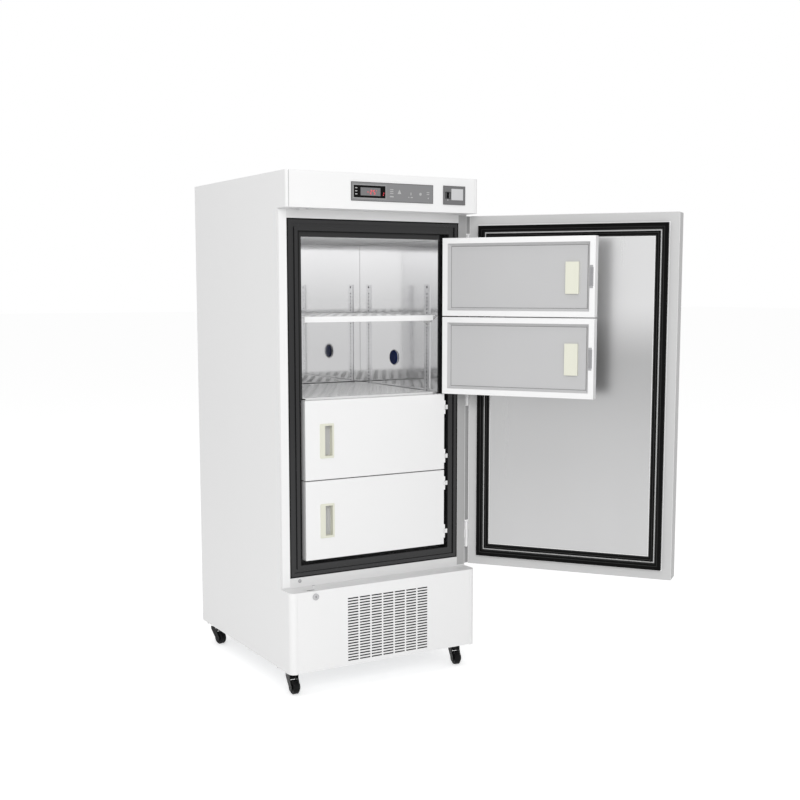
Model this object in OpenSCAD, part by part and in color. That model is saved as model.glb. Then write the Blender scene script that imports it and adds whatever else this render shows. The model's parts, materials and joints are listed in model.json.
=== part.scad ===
// Upright laboratory freezer on swivel casters, with a main door and four inner doors.
// Origin on the floor under the middle of the cabinet, X to the right, Y to the back, Z up.
// The rest pose has the main door and the two upper inner doors open.

/* [Cabinet] */
// Width over the side panels
cab_w = 700; // [660:1:760]
// Depth from the header face to the back
cab_d = 766; // [720:1:820]
// Height of the cabinet without its casters
cab_h = 1582; // [1540:1:1640]
// Underside of the cabinet above the floor
floor_gap = 80; // [76:1:90]
// Height of the machine compartment under the door
base_h = 265; // [250:1:290]
// Height of the header above the door
header_h = 112.5; // [104:0.5:130]
// How far the door face of the cabinet stands back from header and base
recess_d = 68.3; // [60:0.1:80]
// Thickness of the sheet metal
sheet_t = 1.5; // [1:0.1:2.5]
// Front corner radius of the header
header_r = 9.5; // [6:0.5:14]
// Front corner radius of the machine compartment
base_r = 19.5; // [12:0.5:24]
// Width of the side panels' front flange past the corner radius
flange_w = 4; // [3:0.5:8]

/* [Cavity] */
// Width of the ledge behind the inner doors at each side of the cold space
ledge_w = 20.5; // [16:0.5:26]
// Height of the ledge at top and bottom of the cold space
ledge_h = 14.5; // [12:0.5:20]
// Thickness of the insulated rear wall
rear_wall = 114; // [90:1:160]
// Thickness of the stainless liner
liner_t = 1.2; // [0.8:0.1:2]
// Width of the white surround beside the dark frame
frame_side = 32.5; // [26:0.5:38]
// Height of the white surround above the dark frame
frame_top = 29; // [24:0.5:36]
// Height of the white surround under the dark frame
frame_bottom = 32.5; // [26:0.5:38]
// Width of the dark frame's front band
band_w = 41; // [39:0.5:42]
// Room between the closed inner doors and the bottom of their rebate
inner_back_gap = 1.1; // [0.6:0.1:3]
// Distance of the seal groove from the frame's outer edge
groove_in = 15; // [12:0.5:17]
// Width of the seal groove
groove_w = 11; // [8:0.5:13]
// Depth of the seal groove
groove_d = 5; // [3:0.5:7]

/* [Main door] */
// Opening angle of the main door as photographed
door_open = 128; // [100:1:150]
// Thickness of the main door without its seals
door_t = 70; // [60:1:80]
// Gap above the main door
door_top_gap = 4.8; // [3:0.1:8]
// Gap under the main door
door_bottom_gap = 6.4; // [4:0.1:9]
// Distance of the hinge axis from the cabinet side
hinge_out = 3.6; // [3.6:0.1:5]
// Radius of the hinge knuckles
knuckle_r = 5; // [4:0.1:5]
// Radius of the hinge pins
hinge_pin_r = 2.5; // [2:0.1:3]
// Length of one hinge
hinge_len = 90; // [70:1:120]
// Room between the door's inner face and the cabinet's door face
door_gap = 12.3; // [11:0.1:16]
// Distance of the outer seal from the door edge
seal_in = 33; // [30:0.5:36]
// Width of the outer seal
seal_w = 17; // [14:0.5:20]
// Distance of the inner seal from the door edge
seal2_in = 59; // [56:0.5:62]
// Width of the inner seal
seal2_w = 12; // [9:0.5:14]
// Height of the inner seal
seal2_h = 6; // [3:0.5:8]
// Room left between a closed seal and what it meets
seal_gap = 0.3; // [0.2:0.05:0.5]
// How far the door's liner panel stands proud of its margin
door_liner_proud = 1; // [0.5:0.1:2]
// Length of the door handle
handle_len = 316; // [250:1:400]
// How far the middle of the handle lies below the middle of the door
handle_low = 8; // [0:1:60]
// How far the door handle stands out
handle_out = 23; // [18:1:30]
// Width of the door handle
handle_w = 34; // [28:1:44]

/* [Inner doors] */
// Number of inner doors
inner_n = 4; // [4:1:4]
// Opening angle of the two upper inner doors as photographed
inner_open = 124.4; // [90:0.1:130]
// Room beside an inner door in its rebate
inner_side_gap = 14.7; // [12:0.1:17]
// How far the inner doors lap over the cold space at top and bottom
inner_lap = 3.5; // [2:0.5:8]
// Thickness of an inner door
inner_t = 30; // [26:0.5:31]
// Gap between two inner doors
inner_gap = 3.8; // [3:0.1:6]
// How far the closed inner doors stand proud of the dark frame
inner_proud = 3.4; // [2:0.1:4]
// Width of an inner door's rim round its sunk panel
rim_w = 18; // [14:0.5:24]
// Depth of the sunk panel behind the rim
sunk_d = 12; // [8:0.5:16]
// Width of the bevel from rim to sunk panel
bevel_w = 9; // [4:0.5:14]
// Radius of the inner doors' hinge knuckles
inner_knuckle_r = 2.6; // [2.4:0.1:3]
// Radius of the inner doors' hinge pins
inner_pin_r = 1.2; // [1:0.1:1.4]
// Length of an inner door's hinge
inner_hinge_len = 46; // [36:1:60]
// Width of the finger pull's flange
pull_w = 50; // [44:1:56]
// Height of the finger pull's flange
pull_h = 112; // [100:1:120]
// Distance of the finger pull's flange from the free edge
pull_in = 52; // [46:1:64]

/* [Shelves] */
// Thickness of a shelf plate
shelf_t = 1.5; // [1:0.1:2.5]
// Height of a shelf's turned-down edge
shelf_lip = 18; // [14:0.5:24]
// Room between the inner doors' rebate and a shelf's front edge
shelf_setback = 8; // [6:1:40]
// Diameter of a shelf's holes
shelf_hole = 22; // [16:0.5:26]
// Distance between shelf holes across
shelf_px = 38; // [34:0.5:44]
// Distance between shelf rows
shelf_py = 33; // [30:0.5:44]
// Width of a shelf rail on the cavity wall
rail_w = 36; // [28:1:44]
// Thickness of a shelf rail
rail_t = 2; // [1.5:0.1:3]
// Distance between the slots of a shelf rail
rail_pitch = 12.7; // [12:0.1:14]
// Distance of the front shelf rails behind the cavity mouth
rail_front = 70; // [60:1:90]
// Distance of the rear shelf rails from the cavity's rear wall
rail_rear = 72; // [60:1:90]
// Length of a shelf clip's carrying edge
clip_len = 108; // [80:1:116]
// Drop of a shelf clip
clip_drop = 28; // [22:1:34]
// Thickness of a shelf clip
clip_t = 1.6; // [1.2:0.1:2.4]
// Width of a shelf clip's carrying edge
clip_w = 12; // [9:0.5:16]

/* [Grille and controls] */
// Columns of slots in the lower front panel
grille_cols = 7; // [5:1:8]
// Rows of slots in the lower front panel
grille_rows = 23; // [15:1:23]
// Distance between columns
grille_px = 43.9; // [42:0.1:46]
// Distance between rows
grille_pz = 9.35; // [9:0.05:9.6]
// Width of a slot
slot_w = 38.6; // [34:0.1:40]
// Height of a slot
slot_h = 4.4; // [3:0.1:5]
// Diameter of the key lock
lock_d = 21.6; // [18:0.1:24]
// Reach of the lock's cam
cam_len = 40; // [38:0.5:42]
// Width of the lock's cam
cam_w = 9; // [7:0.5:10]
// Thickness of the lock's cam
cam_t = 2.5; // [2:0.1:3]
// Width of the control panel
panel_w = 301; // [290:1:310]
// Height of the control panel
panel_h = 59; // [54:0.5:64]
// Width of the black display
display_w = 114; // [100:1:120]
// Height of the black display
display_h = 38; // [34:0.5:42]
// Side of the square switch plate
plate_s = 84.6; // [78:0.1:88]

/* [Casters] */
// Diameter of a caster wheel
wheel_d = 46; // [44:1:50]
// Width of a caster wheel
wheel_w = 22; // [18:0.5:26]
// Room between a wheel and its fork's legs
fork_gap = 1.5; // [1:0.1:3]
// Thickness of a fork leg
fork_t = 3; // [2:0.1:4]
// Length of a fork leg's upper edge
fork_len = 36; // [30:1:40]
// Height of the legs' upper edges above the fork's crown
fork_ear = 8; // [4:0.5:12]
// Distance of the wheel axle from the swivel axis
caster_trail = 21; // [17:0.5:23]
// Distance of the caster swivels from the cabinet side
caster_in = 38; // [38:1:60]
// Distance of the front swivels behind the header face
caster_front = 76; // [64:1:90]
// Distance of the rear swivels from the back
caster_rear = 44; // [38:1:60]
// Radius of the swivel stem
stem_r = 5; // [4:0.1:6]

/* [Machine] */
// Diameter of the compressor shell
compressor_d = 150; // [130:1:160]
// Height of the compressor
compressor_h = 165; // [140:1:170]
// Number of condenser fins
fin_n = 24; // [12:1:30]
// Outer diameter of the fan
fan_d = 150; // [130:1:156]
// Number of fan blades
blade_n = 5; // [4:1:6]

/* [Hidden] */
$fn = 48;

eps = 0.01;
// Room between folded sheets that meet
fold_gap = 0.2;
// Clearance of a pin in its running bore
run_gap = 0.05;
// Side play between hinge knuckles
knuckle_gap = 0.4;
y_front = -cab_d / 2;
y_back = cab_d / 2;
y_face = y_front + recess_d;
z_under = floor_gap;
z_base = floor_gap + base_h;
z_top = floor_gap + cab_h;
z_head = z_top - header_h;
side_in = cab_w / 2 - sheet_t;
rebate_d = inner_t - inner_proud + inner_back_gap;
mouth_y = y_face + rebate_d;
frame_t = 4;
frame_w = cab_w - 2 * frame_side;
frame_z0 = z_base + frame_bottom;
frame_z1 = z_head - frame_top;
frame_h = frame_z1 - frame_z0;
rebate_w = frame_w - 2 * band_w;
rebate_h = frame_h - 2 * band_w;
cav_w = rebate_w - 2 * ledge_w;
cav_h = rebate_h - 2 * ledge_h;
cav_mid = (frame_z0 + frame_z1) / 2;
cav_bottom = cav_mid - cav_h / 2;
cav_top = cav_mid + cav_h / 2;
cav_back = y_back - rear_wall;

door_w = cab_w;
door_z0 = z_base + door_bottom_gap;
door_z1 = z_head - door_top_gap;
door_h = door_z1 - door_z0;
door_mid = door_z0 + door_h / 2;
door_in_y = y_face - door_gap;
door_out_y = door_in_y - door_t;
hinge_x = cab_w / 2 + hinge_out;
hinge_y = door_in_y + door_gap / 2 - 0.2;
door_r = 6;
handle_t = 6;
handle_in = 3;
seal_h = door_gap - seal_gap;
liner_in = seal2_in + seal2_w;

inner_w = rebate_w - 2 * inner_side_gap;
inner_pitch = (cav_h + 2 * inner_lap + inner_gap) / inner_n;
inner_h = inner_pitch - inner_gap;
inner_z_top = cav_mid + (inner_n * inner_pitch - inner_gap) / 2;
inner_y = y_face - inner_proud;
inner_hinge_x = inner_w / 2 + inner_knuckle_r;
inner_hinge_y = inner_y + 1.1;
inner_hinge_in = 22;
// How far the middle of the finger pull lies below the middle of its door
pull_low = 3.5;
latch_in = 6;
latch_w = 12;
latch_h = 60;
leaf_t = 1.2;

shelf_x = cav_w / 2 - rail_t - 5;
clip_arm = 24;
lip_x = cav_w / 2 - rail_t - clip_w - 1;
shelf_y0 = mouth_y + shelf_setback;
shelf_y1 = cav_back - 24;
rail_z0 = cav_bottom + 4;
rail_z1 = cav_top - 149;
rail_ys = [mouth_y + rail_front, cav_back - rail_rear];
grille_z = z_under + base_h / 2 - 10.8;
grille_x = 5.5;
// Slots that the panel has room for
rows_fit = min(grille_rows, floor((base_h - 54 + grille_pz - slot_h) / grille_pz));
cols_fit = min(grille_cols, floor((cab_w - 2 * base_r - 2 * flange_w - 100) / grille_px));
lock_in = 88.6;
lock_x = -cab_w / 2 + lock_in;
lock_z = z_base - 19;
cam_y = y_front + 18;
cam_slot_x = lock_x - 24;
cam_slot_l = 33;
cam_rest = 40;
// Small stop on the sill beside the lock
stop_x = lock_x + 18.4;
stop_d = 12;
stop_h = 3;
// Switch plate, then the control panel beside it and the display in the panel
plate_in = 52.7;
plate_x = cab_w / 2 - plate_in - plate_s / 2;
panel_gap = 39.2;
panel_x = plate_x - plate_s / 2 - panel_gap - panel_w / 2;
panel_z = z_top - 56.7;
display_in = 9;
display_x = panel_x - panel_w / 2 + display_in + display_w / 2;
lcd_w = 72;
lcd_h = 25;
lcd_x = display_x + 3;
plate_z = z_top - 56.8;
plate_h2 = 60.5;
box_x = panel_x + 2;
box_w = 310;
box_h = 62;
plate_t = 3;
rocker_x = plate_x - 25.5;
rocker_y = y_front + 3;
rocker_w = 10.4;
rocker_h = 16.6;
rocker_a = 8;
rocker_pin_r = 2;
switch_r = 5;
switch_drop = 4.2;
// Where the two domes under the header sit
switch_in = 69;
switch_ps = [[-cab_w / 2 + switch_in, y_face - 7.3], [-cab_w / 2 + switch_in + 14.5, y_front + 26]];
port_y = cav_back - 259;
port_z = cav_bottom + 623;
port_d = 50;
caster_y = [y_front + caster_front, y_back - caster_rear];
// Angle of each caster about its swivel, measured from the wheels lying to the front
caster_a = [-4, -12, 12, 5];
caster_x = cab_w / 2 - caster_in;
axle_r = 2.5;
// Machine compartment, its pieces placed from the cabinet's back and sides
condenser_x = grille_x + 4.5;
condenser_y = y_front + 60;
condenser_w = 300;
condenser_d = 50;
condenser_h = base_h - 50;
fan_y = y_front + 122;
fan_z = z_under + 110;
fan_box = fan_d + 26;
comp_x = -cab_w / 2 + 200;
comp_y = y_back - 173;
comp_foot_w = 170;
comp_foot_d = 154;
tray_w = 220;
tray_d = 210;
tray_h = 28;
tray_t = 2;
tray_x = cab_w / 2 - 70 - tray_w;
tray_y = y_back - 53 - tray_d;
inlet_x = -cab_w / 2 + 100;
inlet_z = z_under + 60;
inlet_plate_w = 150;
inlet_plate_h = 120;
pad_x = cab_w / 2 - 150;
pad_w = 40;
pad_h = 20;
pad_t = 7;
pad_z = 60;
louvre_w = 110;
louvre_n = 10;
louvre_pz = 15;
plate_h = 3;
nut_d = 11;
nut_h = 7;
// Caster fork: boss just above the wheel, crown round the boss, legs with a round end at the axle
boss_r = stem_r + 4;
boss_z = wheel_d / 2 + sqrt(pow(wheel_d / 2 + 1.5, 2) - pow(caster_trail - boss_r, 2));
boss_h = 11;
crown_z = wheel_d + 2.5;
crown_t = 4.5;
ear_z = crown_z + crown_t + fork_ear;
leg_r = 13;
leg_in = wheel_w / 2 + fork_gap;
stem_z = boss_z + 2.6;

function inner_top(k) = inner_z_top - (k - 1) * inner_pitch;
function inner_mid(k) = inner_top(k) - inner_h / 2;
function shelf_top(k) = inner_top(k + 1) + inner_gap / 2 + 3;

// Flat ring in the XZ plane, centred on X and on height zc, from y to y + t
module ring_xz(w, h, w2, h2, zc, y, t) {
    translate([0, y + t, zc]) rotate([90, 0, 0]) linear_extrude(t) difference() {
        square([w, h], center = true);
        square([w2, h2], center = true);
    }
}

// Flat plate in the XZ plane, centred on X and on height zc, from y to y + t
module plate_xz(w, h, zc, y, t) {
    translate([-w / 2, y, zc - h / 2]) cube([w, t, h]);
}

// Plan from y0 to y1, centred on X, with rounded front corners
module front_plan(w, y0, y1, r) {
    union() {
        translate([-w / 2, y0 + r]) square([w, y1 - y0 - r]);
        translate([-w / 2 + r, y0]) square([w - 2 * r, r + 1]);
        for (sx = [-1, 1]) translate([sx * (w / 2 - r), y0 + r]) circle(r);
    }
}

// Box given by its low and high corners
module span(a, b) {
    translate(a) cube(b - a);
}

// Rounded rectangle in 2D with true arcs
module rounded(w, h, r) {
    union() {
        square([w - 2 * r, h], center = true);
        square([w, h - 2 * r], center = true);
        for (sx = [-1, 1], sy = [-1, 1]) translate([sx * (w / 2 - r), sy * (h / 2 - r)]) circle(r);
    }
}

// Plan of a side panel with its folded front corner, left side of the cabinet
module side_plan(r, fl) {
    translate([-cab_w / 2, y_front]) {
        translate([0, r]) square([sheet_t, cab_d - r - sheet_t]);
        translate([r, 0]) square([fl, sheet_t]);
        intersection() {
            translate([r, r]) difference() {
                circle(r);
                circle(r - sheet_t);
            }
            square([r, r]);
        }
    }
}

module side_panel() {
    union() {
        translate([0, 0, z_under]) linear_extrude(base_h) side_plan(base_r, flange_w);
        translate([0, 0, z_head]) linear_extrude(header_h) side_plan(header_r, flange_w);
        span([-cab_w / 2, y_face + sheet_t, z_base - eps], [-side_in, y_back - sheet_t, z_head + eps]);
    }
}

module left_side_panel() {
    color("white") side_panel();
}

module right_side_panel() {
    color("white") mirror([1, 0, 0]) side_panel();
}

module top_panel() {
    color("white") translate([0, 0, z_top - sheet_t]) linear_extrude(sheet_t)
        front_plan(2 * side_in - 2 * fold_gap, y_front + sheet_t + fold_gap, y_back - sheet_t,
                   header_r - sheet_t);
}

// Rear sheet with its four spacers, the louvred machine cover and the small sheet round the inlet
module back_panel() {
    cover_x = -cab_w / 2 + inlet_plate_w;
    cover_mid = (cover_x + cab_w / 2) / 2;
    color("gainsboro") union() {
        span([-cab_w / 2, y_back - sheet_t, z_base], [cab_w / 2, y_back, z_top]);
        for (sx = [-1, 1], z = [z_base + pad_z, z_head - pad_z])
            translate([sx * pad_x, y_back - sheet_t, z])
                span([-pad_w / 2, 0, -pad_h / 2], [pad_w / 2, pad_t, pad_h / 2]);
    }
    color("gainsboro") difference() {
        span([cover_x + fold_gap, y_back - sheet_t, z_under], [cab_w / 2, y_back, z_base - fold_gap]);
        for (i = [0 : louvre_n - 1], sx = [-1, 1])
            translate([cover_mid + sx * (louvre_w + 40) / 2, y_back, z_under + 70 + i * louvre_pz])
                cube([louvre_w, 4 * sheet_t, 5], center = true);
    }
    color("gainsboro") difference() {
        span([-cab_w / 2, y_back - sheet_t, z_under], [cover_x, y_back, z_under + inlet_plate_h]);
        translate([inlet_x, y_back, inlet_z]) cube([28, 4 * sheet_t, 22], center = true);
    }
    color("gainsboro")
        span([-cab_w / 2, y_back - sheet_t, z_under + inlet_plate_h + fold_gap],
             [cover_x, y_back, z_base - fold_gap]);
}

module base_frame() {
    color("silver") difference() {
        union() {
            span([-side_in + 0.5, y_front + base_r + 2, z_under],
                 [side_in - 0.5, y_back - sheet_t - 0.5, z_under + 2]);
            for (sx = [-1, 1])
                span([sx > 0 ? side_in - 2.5 : -side_in + 0.5, y_front + base_r + 2, z_under],
                     [sx > 0 ? side_in - 0.5 : -side_in + 2.5, y_back - sheet_t - 0.5, z_under + 30]);
            span([-side_in + 0.5, y_back - sheet_t - 2.5, z_under],
                 [side_in - 0.5, y_back - sheet_t - 0.5, z_under + 30]);
        }
        for (sx = [-1, 1], y = caster_y)
            translate([sx * caster_x, y, z_under - 1]) cylinder(r = stem_r + 4, h = 5);
    }
}

module insulation() {
    color("khaki") difference() {
        span([-side_in + 0.2, y_face + sheet_t + 0.2, z_base],
             [side_in - 0.2, y_back - sheet_t - 0.2, z_head]);
        span([-cav_w / 2 - liner_t - 0.2, y_face - 1, cav_bottom - liner_t - 0.2],
             [cav_w / 2 + liner_t + 0.2, cav_back + liner_t + 0.2, cav_top + liner_t + 0.2]);
        plate_xz(frame_w + 0.6, frame_h + 0.6, cav_mid, y_face - 1, frame_t + 1.3);
        plate_xz(rebate_w + 2 * frame_t + 0.4, rebate_h + 2 * frame_t + 0.4, cav_mid, y_face - 1,
                 rebate_d + frame_t + 1.2);
        ring_xz(frame_w - 2 * groove_in + 8, frame_h - 2 * groove_in + 8,
                frame_w - 2 * groove_in - 2 * groove_w - 8, frame_h - 2 * groove_in - 2 * groove_w - 8,
                cav_mid, y_face - 1, frame_t + groove_d + 1.3);
        translate([cav_w / 2 + liner_t, port_y, port_z]) rotate([0, 90, 0])
            cylinder(d = port_d + 2, h = 200);
    }
}

module cavity_liner() {
    color("lightsteelblue") difference() {
        span([-cav_w / 2 - liner_t, mouth_y + frame_t, cav_bottom - liner_t],
             [cav_w / 2 + liner_t, cav_back + liner_t, cav_top + liner_t]);
        span([-cav_w / 2, mouth_y - 1, cav_bottom], [cav_w / 2, cav_back, cav_top]);
        translate([cav_w / 2 - 1, port_y, port_z]) rotate([0, 90, 0]) cylinder(d = port_d, h = 5);
    }
}

module breaker_frame() {
    color("dimgray") difference() {
        union() {
            ring_xz(frame_w, frame_h, rebate_w, rebate_h, cav_mid, y_face, frame_t);
            ring_xz(frame_w - 2 * groove_in + 6, frame_h - 2 * groove_in + 6,
                    frame_w - 2 * groove_in - 2 * groove_w - 6, frame_h - 2 * groove_in - 2 * groove_w - 6,
                    cav_mid, y_face, frame_t + groove_d);
            ring_xz(rebate_w + 2 * frame_t, rebate_h + 2 * frame_t, rebate_w, rebate_h, cav_mid, y_face,
                    rebate_d + frame_t);
            ring_xz(rebate_w + 2 * frame_t, rebate_h + 2 * frame_t, cav_w, cav_h, cav_mid, mouth_y, frame_t);
        }
        ring_xz(frame_w - 2 * groove_in, frame_h - 2 * groove_in, frame_w - 2 * groove_in - 2 * groove_w,
                frame_h - 2 * groove_in - 2 * groove_w, cav_mid, y_face - 1, groove_d + 1);
    }
}

module front_surround() {
    color("white") difference() {
        span([-cab_w / 2, y_face, z_base], [cab_w / 2, y_face + sheet_t, z_head]);
        span([-frame_w / 2 - 0.2, y_face - 1, frame_z0 - 0.2],
             [frame_w / 2 + 0.2, y_face + sheet_t + 1, frame_z1 + 0.2]);
    }
}

module header_cover() {
    hx = cab_w / 2 - header_r - flange_w - 0.3;
    color("white") difference() {
        union() {
            span([-hx, y_front, z_head], [hx, y_front + sheet_t, z_top]);
            span([-hx, y_front, z_head], [hx, y_front + header_r, z_head + sheet_t]);
            translate([0, 0, z_head]) linear_extrude(sheet_t)
                front_plan(2 * side_in - 2 * fold_gap, y_front + sheet_t + fold_gap, y_face + sheet_t,
                           header_r - sheet_t);
        }
        translate([panel_x, y_front, panel_z])
            cube([panel_w - 12, 5 * sheet_t, panel_h - 12], center = true);
        translate([plate_x, y_front, plate_z]) cube([plate_s - 8, 5 * sheet_t, plate_h2 - 8], center = true);
        for (p = switch_ps) translate([p[0], p[1], z_head - 1]) cylinder(r = switch_r - 1.95, h = 4);
    }
}

module control_panel() {
    color("gray") difference() {
        union() {
            translate([panel_x, y_front - 1, panel_z]) cube([panel_w, 2, panel_h], center = true);
            translate([panel_x, y_front + 2.5, panel_z])
                cube([panel_w - 14, 9, panel_h - 14], center = true);
        }
        translate([display_x, y_front - 1.6, panel_z]) cube([display_w, 3, display_h], center = true);
    }
}

module display_window() {
    color("black") difference() {
        translate([display_x, y_front - 0.95, panel_z])
            cube([display_w - 0.4, 1.7, display_h - 0.4], center = true);
        translate([lcd_x, y_front - 2, panel_z]) cube([lcd_w, 1.4, lcd_h], center = true);
    }
}

module switch_plate() {
    ph = plate_h2;
    color("gray") difference() {
        union() {
            translate([plate_x, y_front - plate_t / 2, plate_z]) cube([plate_s, plate_t, ph], center = true);
            translate([plate_x, y_front + 4.5, plate_z]) cube([plate_s - 10, 9, ph - 10], center = true);
        }
        translate([rocker_x, y_front, plate_z]) cube([rocker_w + 0.8, 40, rocker_h + 2], center = true);
        translate([rocker_x, rocker_y, plate_z]) rotate([0, 90, 0])
            cylinder(r = rocker_pin_r + run_gap, h = rocker_w + 5.6, center = true);
    }
}

module rocker_switch() {
    color("black") translate([rocker_x, rocker_y, plate_z]) rotate([rocker_a, 0, 0]) difference() {
        union() {
            rotate([0, 90, 0]) cylinder(r = rocker_pin_r, h = rocker_w + 5, center = true);
            translate([0, -2.6, 0]) cube([rocker_w, 5, rocker_h], center = true);
            translate([0, 0.6, 0]) cube([rocker_w, 3, 9], center = true);
        }
        translate([0, -12.2, 0]) rotate([0, 90, 0]) cylinder(r = 8, h = 20, center = true);
    }
}

module control_box() {
    color("darkslategray") union() {
        span([box_x - box_w / 2, y_front + 24, z_head + sheet_t],
             [box_x + box_w / 2, y_front + 64, z_head + sheet_t + box_h]);
        for (x = [box_x - box_w / 2 - 8, box_x + box_w / 2])
            span([x, y_front + 30, z_head + sheet_t], [x + 8, y_front + 58, z_head + sheet_t + 2]);
    }
}

module grille_panel() {
    gx = cab_w / 2 - base_r - flange_w - 0.3;
    color("white") difference() {
        union() {
            span([-gx, y_front, z_under + 2], [gx, y_front + sheet_t, z_base]);
            span([-gx, y_front, z_under + 2], [gx, y_front + 14, z_under + 2 + sheet_t]);
        }
        for (i = [0 : cols_fit - 1], j = [0 : rows_fit - 1])
            translate([grille_x + (i - (cols_fit - 1) / 2) * grille_px, y_front,
                       grille_z + (j - (rows_fit - 1) / 2) * grille_pz])
                cube([slot_w, 5 * sheet_t, slot_h], center = true);
        translate([lock_x, y_front + 8, lock_z]) rotate([90, 0, 0]) cylinder(d = lock_d - 6, h = 20);
    }
}

module lock_ring() {
    color("silver") translate([lock_x, y_front, lock_z]) rotate([90, 0, 0]) union() {
        difference() {
            cylinder(d = lock_d, h = 3);
            translate([0, 0, -1]) cylinder(d = lock_d - 8 + 0.1, h = 5);
        }
        translate([0, 0, -14]) difference() {
            cylinder(d = lock_d - 6.4, h = 14 + eps);
            translate([0, 0, -1]) cylinder(d = lock_d - 8 + 0.1, h = 20);
        }
    }
}

module key_lock() {
    color("lightgray") translate([lock_x, y_front, lock_z]) rotate([90, 0, 0]) union() {
        difference() {
            translate([0, 0, y_front - cam_y]) cylinder(d = lock_d - 8, h = cam_y - y_front + 2.5);
            translate([0, 0, 3]) cube([1.6, 8, 6], center = true);
        }
        translate([0, 0, y_front - cam_y - cam_t]) linear_extrude(cam_t) rotate(cam_rest) union() {
            circle(d = 13);
            translate([-cam_len, -cam_w / 2]) square([cam_len, cam_w]);
        }
    }
}

module door_sill() {
    color("white") difference() {
        union() {
            translate([0, 0, z_base - sheet_t]) linear_extrude(sheet_t)
                front_plan(2 * side_in - 2 * fold_gap, y_front + sheet_t + fold_gap, y_back - sheet_t - 0.2,
                           base_r - sheet_t);
            translate([stop_x, y_face - 15.3, z_base]) cylinder(d1 = stop_d, d2 = stop_d - 3, h = stop_h);
        }
        translate([cam_slot_x, cam_y + cam_t / 2, z_base]) cube([cam_slot_l, cam_t + 2.5, 5], center = true);
    }
}

module compressor() {
    cz = z_under + 2;
    color("black") translate([comp_x, comp_y, cz]) union() {
        for (sx = [-1, 1], sy = [-1, 1])
            translate([sx * (comp_foot_w / 2 - 15), sy * (comp_foot_d / 2 - 15), 0])
                cylinder(d = 22, h = 16);
        translate([-comp_foot_w / 2, -comp_foot_d / 2, 12]) cube([comp_foot_w, comp_foot_d, 4]);
        translate([0, 0, 14]) cylinder(d = compressor_d, h = compressor_h - 60);
        translate([0, 0, compressor_h - 47]) rotate_extrude() intersection() {
            circle(d = compressor_d);
            translate([0, -2]) square([compressor_d / 2, compressor_d / 4.2]);
        }
        translate([compressor_d / 2 - 4, -22, 40]) cube([26, 44, 60]);
        translate([-20, -compressor_d / 2 - 22, 60]) rotate([-90, 0, 0]) cylinder(d = 9, h = 40);
    }
}

module condenser() {
    cx = condenser_x;
    cy = condenser_y;
    cz = z_under + 2;
    w = condenser_w;
    h = condenser_h;
    color("silver") union() {
        for (i = [0 : fin_n - 1])
            translate([cx - w / 2 + 10 + i * (w - 20) / (fin_n - 1), cy, cz + 2]) cube([0.8, 44, h - 4]);
        for (r = [0 : 4], c = [0 : 1])
            translate([cx - w / 2, cy + 12 + c * 20, cz + 22 + r * (h - 47) / 4]) rotate([0, 90, 0])
                cylinder(d = 9.5, h = w, $fn = 24);
        for (sx = [0, 1]) translate([cx - w / 2 + sx * (w - 2), cy - 3, cz]) cube([2, condenser_d, h]);
    }
}

module fan_motor() {
    fy = fan_y;
    fz = fan_z;
    color("dimgray") translate([condenser_x, fy, fz]) rotate([-90, 0, 0]) union() {
        difference() {
            translate([0, 0, 0]) linear_extrude(30) square([fan_box, fan_box], center = true);
            translate([0, 0, -1]) cylinder(d = fan_d + 8, h = 40);
        }
        for (a = [45, 135, 225, 315]) rotate(a) translate([20, -3, 26]) cube([fan_d / 2 - 12, 6, 4]);
        translate([0, 0, 24]) cylinder(d = 52, h = 34);
        translate([0, 0, 12]) cylinder(r = 3, h = 14);
    }
    color("dimgray") for (sx = [-1, 1])
        translate([condenser_x + sx * fan_d / 2 - 8, fy, z_under + 2])
            cube([16, 30, fz - z_under - 2 - fan_box / 2]);
}

module fan_blades() {
    color("white") translate([condenser_x, fan_y, fan_z]) rotate([-90, 0, 0]) difference() {
        union() {
            cylinder(d = 40, h = 18);
            for (k = [0 : blade_n - 1]) rotate(k * 360 / blade_n) translate([0, 0, 9]) rotate([32, 0, 0])
                translate([0, 0, -0.8]) linear_extrude(1.6) intersection() {
                    circle(d = fan_d);
                    translate([8, -15]) square([fan_d / 2, 30]);
                }
        }
        translate([0, 0, 11]) cylinder(r = 3 + run_gap, h = 10);
    }
}

module drip_tray() {
    color("gray") difference() {
        span([tray_x, tray_y, z_under + 2], [tray_x + tray_w, tray_y + tray_d, z_under + 2 + tray_h]);
        span([tray_x + tray_t, tray_y + tray_t, z_under + 2 + tray_t],
             [tray_x + tray_w - tray_t, tray_y + tray_d - tray_t, z_under + 4 + tray_h]);
    }
}

module power_inlet() {
    color("black") translate([inlet_x, y_back, inlet_z]) difference() {
        union() {
            translate([0, 1, 0]) cube([50, 2, 28], center = true);
            translate([0, -12.3, 0]) cube([27.4, 25, 21.4], center = true);
        }
        translate([0, -6, 0]) cube([23, 24, 16], center = true);
        for (sx = [-1, 1]) translate([sx * 20, 0, 0]) rotate([90, 0, 0])
            cylinder(r = 1.75, h = 12, center = true);
    }
    color("silver") for (sx = [-1, 0, 1])
        translate([inlet_x + sx * 7, y_back - 18 - eps, inlet_z + (sx == 0 ? 4 : -2)])
            translate([-1, 0, -2.5]) cube([2, 14, 5]);
}

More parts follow.
